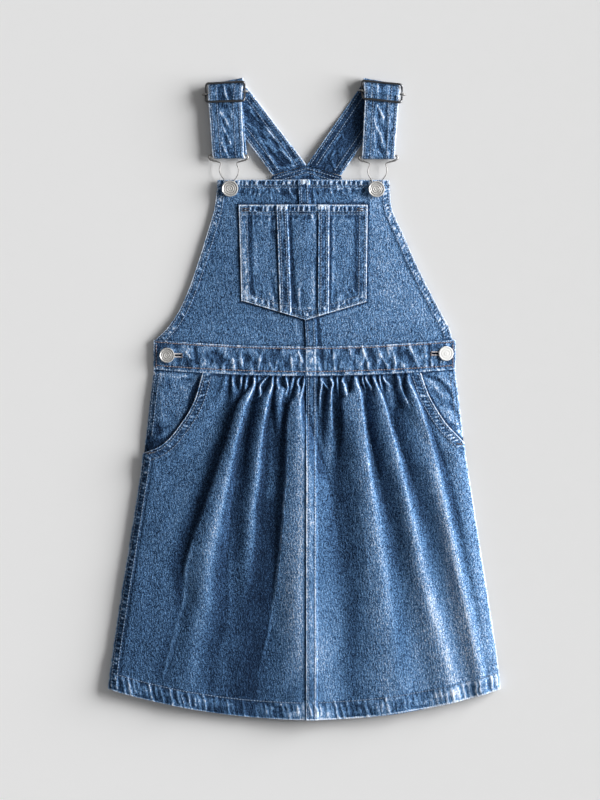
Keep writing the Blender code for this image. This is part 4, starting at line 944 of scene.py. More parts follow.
def facingFace(x, y, side):
    face = Face(x)
    sign = signs[side]
    seed = 41 if side == "left" else 47
    inside = halfWidth(y) - sign * x
    slant = x * 0.72 * sign + y * 0.70
    face.lift += 0.5 * rumple(slant / 11, (x - y) / 40, seed)
    face.wear += (0.12 + 0.10 * sign) * ease(rumple(slant / 8, (x - y) / 30, seed + 1) * 2)
    face.strokes(x, y, facingCreases[side], 0.4)
    off, place = distance(d["mouth"][side], x, y)
    face.deep += 1.1 * upTo(off, read(shadowReach[side], place), 1.4)
    down = waistLow(x) - y
    # painted shadow under the waistband's edge
    under = ease(1.2 - down / 1.6)
    face.wear *= 1 - under
    face.wear += 0.6 * near(down - 3.4, 0.9) * (side == "left")
    face.deep += 1.2 * under
    face.lift += 0.35 * upTo(inside, strips["facing"], 0.9)
    face.mottle(y, inside, strips["facing"], seed + 2, 0.6)
    face.sewn(inside, sewing["facing"][1:], 0.3)
    face.deep += 0.45 * ease((-y - 24) / 12) * (side == "left")
    face.edge(inside, y, seed + 3, 1.6, 1.1)
    face.lift = np.minimum(face.lift, 0.35)
    return facingHigh(x, y), face


def hipFacing(side):
    look = facingLook
    sign = signs[side]
    mouth = d["mouth"][side]
    t = np.linspace(0, 1, look["rows"] + 1) * look["end"]
    (ax, ay), (bx, by) = along(mouth, np.minimum(1, t + 0.02)), along(mouth, np.maximum(0, t - 0.02))
    run = np.stack([ax - bx, ay - by], axis=1)
    run /= np.linalg.norm(run, axis=1, keepdims=True)
    reach = mix(look["under"], look["underLow"], t * t)
    edgeX, edgeY = along(mouth, t)
    innerX, innerY = edgeX + sign * run[:, 1] * reach, edgeY - sign * run[:, 0] * reach
    y0 = mix(waistLow(d["halfWaist"]) - d["gap"], mouth[-1][1], t)
    outerX = sign * (halfWidth(y0) - 0.2)
    share = np.linspace(0, 1, look["across"] + 1)
    x = mix(outerX[:, None], innerX[:, None], share)
    y = mix(y0[:, None], innerY[:, None], share)
    y = np.minimum(y, waistLow(x) - d["gap"])
    y[0] = waistLow(x[0]) - d["gap"]
    x, y = x[::-1], y[::-1]
    if side == "right":
        x, y = x[:, ::-1], y[:, ::-1]
    high, face = facingFace(x, y, side)
    return shell("hipFacing" + side.title(), np.dstack([x, y, high]), face.lift, d["layer"], face, denimFace)


facings = {side: hipFacing(side) for side in ("left", "right")}

# ---- back of the skirt, flat on the floor
backSkirt = dict(
    across=150, up=130, curl=1.0, curlWidth=8.0,
    folds=[(-72, -112, -146, 12, 16, 1.2, 0.6), (-30, -42, -50, 10, 14, 1.2, 0.0),
           (34, 44, 54, 10, 14, 1.2, 0.0), (76, 114, 148, 12, 16, 1.2, 0.6)])


def skirtBack():
    look = backSkirt
    share = np.linspace(1, 0, look["up"] + 1)
    edgeY = mix(waistLow(d["halfWaist"]) - d["gap"], hemLow(d["halfHem"]), share)
    edge = halfWidth(edgeY) - 0.2
    x = edge[:, None] * np.sin(np.linspace(-1, 1, look["across"] + 1) * math.pi / 2)
    y = mix(waistLow(x) - d["gap"], hemLow(x) + 0.6, share[:, None])
    s = share[:, None]
    z = look["curl"] * (1 - clamp((halfWidth(y) - abs(x)) / look["curlWidth"])) ** 2
    for waist, middle, hem, wide, wideLow, high, highLow in look["folds"]:
        crest = waist * (1 - s) * (1 - 2 * s) + middle * 4 * s * (1 - s) + hem * s * (2 * s - 1)
        off = np.minimum(1, abs(x - crest) / mix(wide, wideLow, s))
        z = z + mix(high, highLow, s) * (0.5 + 0.5 * np.cos(math.pi * off))
    face = Face(x)
    up = y - hemLow(x)
    face.ropes(x, up, d["hemDepth"], 6.5, 0.25, 0.3, 51)
    face.edge(halfWidth(y) - abs(x), y, 53, 1.5, 0.4)
    # painted shade: the back lies under the front
    face.deep += 0.25
    hemmed = ease((d["hemDepth"] - up) / 1.5)
    thick = mix(d["layer"], d["double"], hemmed) + clamp(face.lift)
    return shell("skirtBack", np.dstack([x, y, z]), thick, 0.0, face, denimShadedBack)


back = skirtBack()
print("facings and back skirt done")

# ---- waistband
bandLook = dict(columns=380, rows=40, holeRound=3.0, holeSlit=0.8, holeLong=13.5)
sideButtons = dict(left=(-130.2, 40.7, 7.2), right=(134.0, 42.4, 7.0))


# puckers, pale and deep, partly wear and dye, partly painted light and shade: from, to, half width, how worn
puckers = [
    (27.5, 46, 28.6, 27, 1.4, 0.9), (19, 38, 19.5, 27, 1.3, 0.5), (23, 32, 23, 27, 1.1, 0.5),
    (34, 34, 33.5, 27, 1.4, 0.5), (40, 33, 43.5, 27, 1.3, 0.5), (42.3, 51, 43.2, 42, 1, 0.7),
    (43.2, 42, 49, 34, 1, 0.35), (54.1, 50.5, 56, 43, 1, 1), (56, 43, 60.5, 33, 1, 0.9),
    (60.5, 33, 60.8, 27, 1.2, 0.7), (53.5, 34, 54, 27, 1.2, 0.6), (68.5, 50.5, 71.5, 41, 1.1, 0.9),
    (71.5, 41, 78.5, 31, 1, 0.9), (78.5, 31, 79.5, 27, 1.2, 0.7), (69, 36, 68.7, 27, 1.3, 0.6),
    (79.3, 50, 79.8, 40, 1.1, 0.5), (82.5, 48, 85, 38, 1, 0.8), (85, 38, 86, 33, 1, 0.9),
    (86, 33, 85, 27.5, 1.2, 0.7), (92.6, 34, 95.5, 27.5, 1.4, 0.6), (99.3, 51, 102, 44, 1, 0.7),
    (102, 44, 105.5, 35, 1, 0.6), (105.5, 35, 108, 30, 1.3, 0.6), (113.6, 51, 115, 40, 1.1, 0.8),
    (115, 40, 115.5, 29, 1.2, 0.8), (120, 36.5, 120.5, 29, 1, 0.7), (125, 36.5, 125, 29, 1, 0.7),
    (129, 35, 128.8, 30, 0.9, 0.7), (132.5, 36, 132, 30, 0.9, 0.7), (12.5, 50, 13.5, 27, 1.3, 0.7),
    (17, 45, 17, 28, 2.2, -0.8), (24, 50, 25, 42, 1.6, -0.6), (31.5, 38, 31.5, 28, 1.3, -0.7),
    (36, 50, 39, 44, 2, -0.7), (46.5, 33, 47, 27, 1.8, -0.7), (50, 50, 50, 42, 1.7, -0.8),
    (57, 36, 57.3, 27, 1.5, -0.8), (60, 47, 66, 38, 3, -0.9), (64, 33, 65, 27, 1.6, -0.7),
    (73.8, 36, 75, 28, 1.7, -0.9), (75, 50, 76.5, 44, 2, -0.9), (82, 36, 82.5, 29, 1.3, -0.7),
    (88, 50, 90, 38, 3, -0.9), (89, 33, 90, 27, 1.8, -0.8), (96, 44, 100, 36, 2.5, -0.9),
    (99, 32, 100, 27, 1.6, -0.7), (107, 50, 109, 42, 2, -0.8), (111, 36, 111.5, 28, 1.5, -0.8),
    (118, 50, 118.5, 30, 1.4, -0.9), (122.8, 36, 122.8, 29, 1, -0.8), (127, 36, 127, 29, 1, -0.8),
    (122, 47, 127, 49, 2.2, -0.7), (-127, 46, -112, 44, 2, 0.5), (-112, 43, -108, 38, 1, 0.9),
    (-123, 33, -119, 27, 2.5, 0.5), (-106, 32, -104, 27, 1.6, 0.5), (-97, 33, -84, 27, 3, 0.45),
    (-77.5, 33, -78, 27, 1.4, 0.5), (-67, 36, -66.5, 28, 1.2, 0.7), (-72, 40, -74, 34, 0.9, 0.6),
    (-60, 37, -58, 28, 1.3, 0.7), (-51.5, 34, -50, 27, 1.4, 0.7), (-50, 42, -49, 36, 1.1, 0.5),
    (-43, 40, -42, 36, 1, 0.5), (-42.5, 37, -43.5, 27, 1, 0.9), (-36, 31, -35.5, 27, 1.3, 0.6),
    (-33, 33, -30, 27, 1.2, 0.7), (-25, 36, -28, 27, 1.1, 0.6), (-21, 33, -20, 27, 1.1, 0.5),
    (-12.3, 37, -11.5, 26, 1.2, 0.9), (-6, 44, -2.5, 35, 1, 0.9), (-15, 49, -14, 42, 2, 0.4),
    (-62, 46, -48, 44, 3, 0.35), (-104, 48, -103, 28, 1.6, -0.8), (-111, 36, -111.5, 28, 1.5, -0.8),
    (-98.5, 48, -98.5, 40, 1.6, -0.6), (-101, 33, -101, 28, 1.3, -0.8), (-88, 43, -88, 36, 2.2, -0.9),
    (-83, 43, -79, 36, 3, -0.9), (-81, 33, -81, 27, 1.1, -0.7), (-75, 36, -72, 34, 2.2, -0.9),
    (-74, 31, -74.5, 27, 1.1, -0.8), (-70.5, 32, -71, 27, 1.1, -0.9), (-63.5, 34, -64, 27, 1.2, -0.7),
    (-56, 41, -56.5, 27, 2.4, -0.9), (-53, 38, -53, 36, 2, -0.6), (-46.5, 36, -46.5, 27, 1.4, -0.7),
    (-37.5, 41, -38.5, 31, 2.8, -0.95), (-39.5, 30, -39.5, 27, 1.2, -0.7), (-33, 30, -33.2, 27, 1, -0.6),
    (-26, 31, -25, 28, 1.3, -0.9), (-28, 48, -24, 46, 1.6, -0.8), (-18, 33, -18.5, 27, 1.2, -0.8),
    (-15, 41, -15, 30, 1.5, -0.5), (-6.5, 38, -6.5, 28, 1.8, -0.8), (-3, 48, -2, 43, 1.6, -0.9)
]


def bandFace(x, y):
    face = Face(x)
    low, top = y - waistLow(x), waistTop(x) - y
    inside = ease(low / 2) * ease(top / 2)
    ridge = 0.5 * noise(x / 4.6 + 0.05 * y, y / 12, 61) + 0.5 * noise(x / 2.2 - 0.06 * y, y / 5, 62)
    spots = 0.6 + 0.8 * noise(x / 2.0, y / 2.4, 63)
    face.lift += 0.6 * (ridge - 0.5) * inside
    face.wear += 0.48 * ease((ridge - 0.52) / 0.2) * spots
    face.deep += 0.60 * ease((0.50 - ridge) / 0.2)
    face.strokes(x, y, puckers, 0.45)
    face.lift += 0.35 * rumple(x / 22, y / 12, 65) * inside
    face.sewn(top, [sewing["bandTop"]], 0.30, 0.9)
    face.sewn(low, [sewing["bandLow"]], 0.30, 0.9)
    face.edge(top, x, 67, 1.2, 0.6)
    face.mottle(x, low, 3.4, 64, 0.7)
    face.wear += 0.10 * ease(rumple(x / 15, y / 9, 59) * 3)
    face.edge(low - 0.6, x, 68, 1.8, 0.6)
    # painted shadow along the band's lower edge, under its roll
    face.deep += 0.08 + 1.2 * ease(1 - low / 0.9)
    face.edge(d["halfWaist"] - abs(x), y, 69, 1.6, 0.95)
    face.lift -= 0.35 * ease(1 - low / 1.6) + 0.25 * ease(1 - top / 1.6)
    off, half = x - seamMiddle(60), d["seamHalf"]
    strip = ease((half - abs(off)) * 4)
    face.lift += 0.25 * strip
    face.mottle(y, off + half, half * 2, 66, 0.7)
    face.wear += (0.25 + 0.8 * near(abs(off) - half + 0.6, 0.9)) * strip
    # painted shade on both sides of the centre strip, deeper on the left
    face.deep += 1.3 * near(off + half + 1.0, 1.2) + 0.5 * near(off - half - 2.0, 1.6)
    return waistHigh(x), face


def waistband():
    look = bandLook
    share = np.linspace(0, 1, look["rows"] + 1)[:, None]
    share = share - 0.045 * np.sin(2 * math.pi * share)
    x = np.linspace(-d["halfWaist"], d["halfWaist"], look["columns"] + 1) * np.ones_like(share)
    y = mix(waistLow(x), waistTop(x), share)
    high, face = bandFace(x, y)
    piece = shell("waistbandFront", np.dstack([x, y, high]), face.lift, d["double"], face, denimFace,
                  bulge=0.5)
    for side, (bx, by, _) in sideButtons.items():       # a buttonhole is an eye and a slit, cut through
        inward = -signs[side]
        angle = np.arange(20) * 2 * math.pi / 20
        eye = np.array([bx, by]) + look["holeRound"] * np.stack([np.cos(angle), np.sin(angle)], axis=1)
        x0, x1 = sorted((bx + inward * 1.0, bx + inward * look["holeLong"]))
        y0, y1 = by - look["holeSlit"], by + look["holeSlit"]
        slit = np.array([(x0, y0), (x1, y0), (x1, y1), (x0, y1)])
        for label, outline in (("Eye", eye), ("Slit", slit)):
            n = len(outline)
            verts = np.concatenate([np.column_stack([outline, np.full(n, z)]) for z in (-4.0, 16.0)])
            faces = [list(range(n))[::-1], list(range(n, 2 * n))]
            faces += [(k, (k + 1) % n, n + (k + 1) % n, n + k) for k in range(n)]
            mesh = bpy.data.meshes.new("cut" + label)
            mesh.from_pydata((verts * mm).tolist(), [], faces)
            cutter = bpy.data.objects.new("cut" + label, mesh)
            bpy.context.scene.collection.objects.link(cutter)
            hole = piece.modifiers.new(label, "BOOLEAN")
            hole.object, hole.operation, hole.solver = cutter, "DIFFERENCE", "EXACT"
            bpy.context.view_layer.update()
            shown = piece.evaluated_get(bpy.context.evaluated_depsgraph_get())
            whole = bpy.data.meshes.new_from_object(shown)
            piece.modifiers.clear()
            piece.data = whole
            bpy.data.objects.remove(cutter)
    piece.data.name = "waistbandFront"
    return piece


def waistbandBack():
    share = np.linspace(0, 1, 17)[:, None]
    x = np.linspace(-d["halfWaist"] + 1.5, d["halfWaist"] - 1.5, 161) * np.ones_like(share)
    y = mix(waistLow(x), waistTop(x), share)
    face = Face(x)
    # painted shade: the back lies under the front
    face.deep += 0.2
    face.edge(d["halfWaist"] - abs(x), y, 71, 1.6, 0.5)
    return shell("waistbandBack", np.dstack([x, y, x * 0]), d["double"], 0.0, face, denimShadedBack, bulge=0.4)


band, bandRear = waistband(), waistbandBack()
print("waistband done")


pocket = dict(
    top=183.0, left=(-62.2, -59.6), right=(59.4, 58.2), corner=92.4, point=74.4, pointX=1.2, hem=10.5,
    stripLeft=(-21.4, -18.2), stripRight=(18.3, 17.8), crown=1.5, crownWidth=26.0)


def pocketLow(x):
    return mix(pocket["point"], pocket["corner"], clamp(abs(x - pocket["pointX"]) / 59.5))


def pocketAt(edge, y):          # where an upright edge or strip of the chest pocket is at a height
    top, corner = pocket[edge]
    return mix(corner, top, clamp((y - pocket["corner"]) / (pocket["top"] - pocket["corner"])))


# ---- bib
def bibHigh(x, y, side):
    rise = clamp((y - d["waistTop"]) / (d["bibTop"] - d["waistTop"]))
    half = abs(read([(p[1], p[0]) for p in d["armhole"][side]], y))
    own = d["bibSideHigh"] + d["bibCrown"] * (1 - np.minimum(1.0, abs(x) / half) ** 2)
    return mix(waistHigh(x) - 0.3, own, ease(rise / 0.22))


bibCreases = [
    (-43.5, 200.5, -42.8, 192, 1, 0.7), (-38.5, 199.5, -35.5, 196, 0.9, 0.5),
    (-32.3, 197.5, -31.8, 190, 0.9, 0.5), (-31.8, 190, -29, 184.5, 0.9, 0.5),
    (-27, 199.5, -24, 196, 0.9, 0.7), (-24, 196, -23.5, 191, 0.9, 0.5), (-14, 199.5, -13.5, 195, 0.9, 0.9),
    (-13.5, 195, -10, 190, 1, 0.7), (-45.8, 200.5, -44.3, 196, 1.2, -0.5),
    (-36.5, 197.5, -33.5, 197, 1.5, -0.6), (-22.5, 195.5, -16, 194, 3, -0.8),
    (-12, 197, -9.5, 194, 1.8, -0.9), (-15.5, 192, -12, 189, 1.6, -0.5), (-58, 199, -59.5, 194.5, 2, -0.6),
    (8.3, 197.5, 10, 184, 1, 0.7), (14.3, 201, 13.8, 191.5, 0.9, 0.4), (23.8, 199.5, 25.5, 195, 0.9, 0.9),
    (31.5, 200.5, 32.5, 198, 1.3, 0.8), (36, 198.5, 36, 195, 0.9, 0.6), (36, 195, 40, 193.5, 0.9, 0.5),
    (41.5, 199, 42, 196, 0.9, 0.7), (37, 200.5, 41.5, 200.5, 0.9, 0.5), (49, 200.5, 50, 196, 0.9, 0.5),
    (46, 186.5, 52.5, 191.5, 1.2, 0.6), (49.5, 186, 56, 188.5, 1, 0.6), (10.5, 197, 13, 194, 1.8, -0.6),
    (16, 201, 22, 198, 2.5, -0.6), (38.5, 198, 38.5, 195.5, 1.5, -0.9), (32.5, 197, 35, 194.5, 1.6, -0.6),
    (45.5, 199, 47, 196, 1.5, -0.7), (51.5, 200, 55.5, 197, 2, -0.8), (48.5, 184.5, 54, 185, 2, -1),
    (45, 187, 45.5, 184.5, 1.2, -0.7), (-9, 74, -7, 60, 1.2, 0.6), (14.5, 72.5, 18.5, 66, 0.9, 0.6),
    (30, 82, 31.5, 76.5, 1, 0.5)]
pocketCreases = [
    (-52.2, 174, -51.5, 163, 1.9, -1), (-51.5, 163, -51, 148, 1.4, -0.7), (-48.5, 171, -49, 152, 1, 0.35),
    (-41.2, 172.5, -41, 166, 0.9, 0.7), (-33.5, 174, -33.5, 163, 1, 0.6),
    (-44.5, 172, -42.5, 170, 1.6, -0.7), (-36.5, 172, -36.5, 169.5, 1.6, -0.6),
    (-31, 172, -29.5, 152, 1.8, -0.7), (-28.7, 168, -28.4, 160, 0.8, 0.8), (-46.5, 147, -46, 139, 1.6, 0.4),
    (-47.5, 135, -46.5, 118, 2.2, 0.35), (-53, 106, -48, 99, 1.8, -0.9), (-56, 99.5, -52, 95, 2, 0.8),
    (-49.5, 96, -46.5, 91, 1.2, 0.9), (-52, 94.5, -50, 92.5, 1.2, -0.8), (-41, 101, -41, 94, 1, -0.8),
    (-40, 92.5, -40.5, 89.5, 1.3, 0.9), (-46, 101, -45, 93, 1, 0.5), (-37, 93, -37, 88.5, 1, -0.8),
    (-34.3, 91.5, -34, 87.5, 1, 0.9), (-32, 91, -31.5, 87, 1.6, -1), (-29.8, 96, -29.3, 84, 1, 0.9),
    (-33, 103, -33, 97, 1.2, 0.5), (-30.5, 114, -28, 94, 1.8, -0.8), (-27, 122, -26.3, 97, 0.8, 0.5),
    (-14.5, 172, -13, 150, 1.8, -0.9), (-13, 150, -12.5, 130, 1.6, -0.6), (-12.3, 130, -9.5, 93, 2.4, -0.9),
    (-9.5, 93, -7.5, 88, 2.2, -1), (9, 172, 10, 135, 1.6, 0.5), (-9.5, 171.5, -5, 171.5, 1.6, -0.5),
    (0.5, 171.5, 4, 171, 1.4, -0.5), (6.5, 174.5, 7.5, 169, 0.9, 0.7), (-5, 103, -4.8, 84.5, 1.2, 0.8),
    (-3, 103, -2.5, 88, 1.3, -0.6), (8, 122, 8.5, 93, 1.4, 0.5), (-1, 85.3, 8, 85.3, 1.2, 0.6),
    (-0.5, 81, 1.5, 78, 1.3, 0.9), (27, 168, 27.5, 136, 1.2, 0.6), (31.5, 172, 33, 170, 1.4, -0.8),
    (40, 172.5, 49, 171.5, 1.4, -0.8), (50.2, 174, 50.8, 155, 1.5, -0.7), (33, 170, 42, 167, 1.5, 0.35),
    (26.8, 130, 25.8, 90, 1.1, 0.6), (28.5, 103, 28, 94, 1.6, -0.7), (28, 88, 28, 86, 1.8, -1),
    (31.5, 105, 34, 96, 1, 0.4), (33, 93.5, 35.5, 90, 2.2, 0.6), (31.5, 88.5, 31, 84.5, 1, 0.7),
    (37.5, 104, 43, 96.5, 1, 0.7), (45, 104, 48, 98.5, 1, 0.9), (48, 116, 48, 101, 1.4, -0.8),
    (42.5, 103, 46, 99.5, 1.6, -0.6), (38.5, 99, 43, 95, 1.8, -0.6), (41.5, 93, 41.5, 90, 1, 0.9),
    (39.5, 91.5, 39.5, 89, 1.2, -0.7), (45, 93.5, 45, 90.5, 1.3, -0.8), (46.5, 93.5, 46.5, 91, 0.9, 0.8),
    (53.5, 104, 55.5, 97, 1, 0.7), (55.5, 97, 51.5, 94, 1, 0.7)]


def bibFace(x, y, side):
    face = Face(x)
    seed = 73 if side == "left" else 83
    top, armHem = d["bibTop"] - y, d["armHem"] + 1
    arm, place = distance(d["armhole"][side], x, y)
    face.lift += 0.45 * rumple(x / 30, y / 34, seed) + 0.16 * rumple(x / 8, y / 12, seed + 1)
    low = ease((78 - y) / 20)
    # random pale marks, with painted light paler towards the right and painted shade darker towards the left
    face.wear += 0.12 * rumple(x / 14, y / 20, seed + 2) + 0.20 * ease((x - 10) / 90) * (1 - 1.5 * low)
    face.deep += 0.16 * ease((40 - x) / 120)
    # top hem
    face.lift += 0.30 * upTo(top, d["bibHem"], 1.0)
    face.beads(x, top, 1.0, 5.0, 4.5, seed + 3, 1.2)
    face.beads(x, top, 8.6, 14.0, 5.2, seed + 4, 0.28, 0.4)
    face.mottle(x, top - 4.2, 4.6, seed + 5, 0.8)
    face.wear += 0.45 * near(top - 8.0, 0.9) * noise(x / 1.9, 0, seed + 5)
    face.sewn(top, sewing["bibTop"])
    face.edge(top, x, seed + 4, 1.2, 1.0)
    # painted shade below the top hem
    between = ease((62 - abs(x)) / 8) * ease((top - 4.5) / 2)
    face.deep += 0.18 * between * ease((26 - top) / 6)
    face.wear += 0.20 * ease((abs(x) - 60) / 6) * ease((60 - top) / 40)
    # armhole hem
    strip = Face(x)
    strip.lift += 0.30 * upTo(arm, armHem, 1.0)
    strip.mottle(place, arm, armHem, seed + 6, 0.9)
    strip.beads(place, arm, 2.4, 6.8, 3.2, seed + 7, 0.5, 0.4)
    strip.sewn(arm, sewing["armhole"], 0.22)
    # painted shadow of the folded hem along its inner side
    strip.deep += 0.45 * near(arm - 8.6, 1.2)
    strip.wear += 0.16 * upTo(arm, armHem, 1.0)
    strip.edge(arm, place, seed + 6, 1.5, 1.1)
    face.add(strip, ease((top - 1) / 4))
    low = y - waistTop(x)
    face.lift -= 0.5 * ease(1 - low / 2.2)
    face.deep += 0.40 * near(low, 2.0)
    # where the chest pocket's edges shade it
    pocketTop, foot = pocket["top"], pocketLow(x)
    beside = 1.15 * near(x - pocketAt("left", y) + 0.9, 1.3) + 1.1 * near(x - pocketAt("right", y) - 1.1, 1.3)
    face.deep += beside * within(y, foot - 3, pocketTop + 2.5, 1.5, 0)
    around = 1.1 * near(y - pocketTop - 1.0, 1.3) + 1.2 * near(y - foot + 1.0, 1.2)
    face.deep += around * within(x, -62.5, 60.5, 1.5, 0)
    face.strokes(x, y, bibCreases, 0.3)
    centre(face, x, y, side, seed + 7, 1.1, mix(1.0, 0.35, ease((y - 150) / 20)))
    patch = ease(d["seamHalf"] - 0.6 - abs(x - seamMiddle(y))) * ease((4.4 - top) / 1.2) * (side == "right")
    face.wear += 1.6 * patch
    face.deep *= 1 - patch
    return bibHigh(x, y, side), face


def bibFront(side):
    long = d["bibTop"] - d["waistTop"]
    share = rowsOf(lambda s: mix(1.02, 0.75, ease((s - 0.88) / 0.08)) / long)
    edgeX, edgeY = along(d["armhole"][side], share)
    middleY = mix(d["waistTop"] + d["gap"], d["bibTop"], share)
    seam, half = seamMiddle(middleY), d["seamHalf"]
    if side == "left":
        x = spread([(edgeX, 14), (edgeX + 9, 104), (seam - half - 1.5, 4), (seam - half + 1.5, 2),
                    (seam + half - d["lapShy"], 1)])
    else:
        x = spread([(seam - half, 14), (seam + half, 2), (seam + half + d["lapStep"], 94), (edgeX - 9, 14),
                    (edgeX, 1)])
    bend = clamp((x - seam[:, None]) / (edgeX - seam)[:, None]) ** 2
    y = mix(middleY[:, None], edgeY[:, None], bend)
    y[0] = waistTop(x[0]) + d["gap"]
    high, face = bibFace(x, y, side)
    arm, _ = distance(d["armhole"][side], x, y)
    hemmed = np.maximum(ease((d["bibHem"] - (d["bibTop"] - y)) / 1.2), ease((2.0 - arm) / 1.2))
    carried = 0.0
    if side == "right":
        off = x - seam[:, None]
        hemmed = hemmed * (off > half + d["lapStep"] - 0.1)
        carried = d["lap"] * ease((half + d["lapStep"] - off) / d["lapStep"])
    return shell("bibFront" + side.title(), np.dstack([x, y, high + carried]), face.lift - carried,
                 mix(d["layer"], 1.8, hemmed), face, denimFace)


bib = {side: bibFront(side) for side in ("left", "right")}
print("bib done")

# ---- chest pocket: three panels, the middle one lapped over the others
def pocketHigh(x, y):
    over = ease(1 - abs(x - seamMiddle(y)) / pocket["crownWidth"])
    base = np.where(x < 0, bibHigh(x, y, "left"), bibHigh(x, y, "right"))
    return base + d["lap"] + pocket["crown"] * over


def pocketFace(x, y, part):
    face = Face(x)
    top, low = pocket["top"] - y, (y - pocketLow(x)) * 0.96
    face.lift += 0.30 * rumple(x / 18, y / 26, 91) + 0.12 * rumple(x / 7, y / 10, 92)
    wrinkle = rumple(x / 3.6, y / 17, 90) * mix(0.4, 1.0, ease(abs(top - 45) / 40))
    face.lift += 0.20 * wrinkle
    face.wear += 0.30 * clamp(wrinkle * 1.5)
    face.deep += 0.04 + 0.10 * rumple(x / 16, y / 22, 93) + 0.40 * clamp(-wrinkle)
    face.strokes(x, y, pocketCreases, 0.3)
    # outer edges
    fromLeft, fromRight = x - pocketAt("left", y), pocketAt("right", y) - x
    for off, place, seed in ((fromLeft, y, 94), (fromRight, y, 96), (low, x, 98)):
        face.mottle(place, off, strips["pocket"], seed, 0.8)
        face.wear += 0.42 * upTo(off, strips["pocket"], 1.2) * (seed == 94)
        # painted shade on the panel beside the left and right edge strips
        face.deep += 0.85 * near(off - strips["pocket"] - 1.9, 2.3) * (seed < 98)
        if seed == 98:
            face.beads(place, off, 1.8, 7.0, 4.2, seed, 0.55)
        face.sewn(off, sewing["pocket"], 0.22)
        face.edge(off, place, seed + 1, 1.4, 1.1)
    # top hem
    face.lift += 0.35 * upTo(top, pocket["hem"], 1.0)
    face.beads(x, top, 1.7, 6.3, 4.2, 101, 1.2)
    face.mottle(x, top - 5.6, 4.2, 100, 0.9)
    face.beads(x, top, 9.9, 14.5, 5.6, 103, 0.38, 0.3)
    face.sewn(top, sewing["pocketTop"], 0.28)
    face.wear += 0.4 * near(top - 9.5, 0.8) * noise(x / 1.9, 0, 107)
    face.edge(top, x, 102, 1.9, 1.1)
    # strips
    half = d["seamHalf"]
    row = half - sewing["pocketStrip"]
    for strip, seed in (("stripLeft", 104), ("stripRight", 106)):
        off = x - pocketAt(strip, y)
        on = ease((half - abs(off)) / 0.6 + 0.5)
        face.mottle(y, off + half, half * 2, seed, 0.85)
        face.wear += on * 0.95 * ease((5.4 - top) / 1.6)
        face.deep -= on * clamp(face.deep) * ease((5.4 - top) / 1.6)
        if part == "middle":
            inner = 1 if seed == 104 else -1
            step = inner * off - half
            face.lift += d["lap"] * ease((d["lapStep"] - step) / d["lapStep"]) * (inner * off > -half - 1)
            face.sewn(off, (-row, row), 0.2, 0.7)
        low = ease((y - pocketLow(x) - 5) / 3)
        # painted shade along both sides of each strip
        face.deep += (1.5 * near(off + half + 1.3, 1.3) + 1.2 * near(off - half - 1.7, 1.6)) * low
        face.deep += 0.22 * on * ease((top - 5) / 3)
        face.edge(half - abs(off), y, seed + 2, 1.25, np.where((seed == 104) == (off > 0), 0.60, 0.90))
    return pocketHigh(x, y), face


def pocketPanel(part, left, right, keys, rows=124):
    share = np.linspace(0, 1, rows + 1)
    start, stop = mix(left[1], left[0], share), mix(right[1], right[0], share)
    x = spread([((start, stop)[end] + shift, count) for end, shift, count in keys])
    y = mix(pocketLow(x), pocket["top"], share[:, None])
    high, face = pocketFace(x, y, part)
    carried = 0.0
    if part == "middle":
        half, step = d["seamHalf"], d["lapStep"]
        off = np.minimum(x - start[:, None], stop[:, None] - x) - 2 * half
        carried = d["lap"] * ease((step - off) / step)
    return shell("chestPocket" + part.title(), np.dstack([x, y, high + carried]), face.lift - carried,
                 d["layer"], face, denimFace)


def chestPocket():
    half, shy, step = d["seamHalf"], d["seamHalf"] - d["lapShy"], d["lapStep"]
    p = pocket
    # columns: which side they are counted from, how far, how many parts up to the next
    plain = [(0, 0, 58), (1, 0, 1)]
    lapped = [(0, 0, 14), (0, 2 * half, 2), (0, 2 * half + step, 36), (1, -2 * half - step, 2),
              (1, -2 * half, 14), (1, 0, 1)]
    left, right = np.array(p["stripLeft"]), np.array(p["stripRight"])
    return [pocketPanel("left", p["left"], left + shy, plain),
            pocketPanel("middle", left - half, right + half, lapped),
            pocketPanel("right", right - shy, p["right"], plain)]


pockets = chestPocket()

# ---- back bib
bibRear = dict(
    middle=1.9, arch=220.6, across=100, up=110, lift=2.2,
    sides=[(55.5, 133.0), (72.0, 112.0), (100.0, 78.0), (140.0, 50.0), (180.0, 37.0), (210.6, 32.8)],
    creases=[
        (-3.5, 215, 3.5, 213, 1.2, 0.7), (8, 220.5, 14.5, 217, 0.9, 0.6), (9, 217, 10, 213, 0.9, 0.8),
        (13, 217, 14, 213, 0.9, 0.8), (7, 211, 13, 209.5, 1.4, 0.6), (0.5, 212, -3.5, 211, 0.9, 0.5),
        (-20.5, 217, -14, 218, 0.9, 0.5), (-16.5, 216, -15.5, 212, 0.9, 0.6), (-13, 216, -13, 213, 0.9, 0.5),
        (-27, 209.5, -19.5, 211, 0.9, 0.4), (-1.5, 210, 6, 209.5, 2, -0.8),
        (14.5, 221.5, 18.5, 217, 2, -0.8), (4, 216, 8, 216, 1, -0.7), (11, 212, 14.5, 211, 1.2, -0.6),
        (19.5, 213, 28, 209.5, 2, -0.6), (-33, 208.5, -14, 209.5, 1.5, -0.5),
        (-12, 217, -4.5, 219, 1.5, -0.6)])


def archHigh(x, drop=0.0):
    r = bibRear
    return mix(r["arch"], r["sides"][-1][0], abs(x - r["middle"]) / r["sides"][-1][1]) - drop


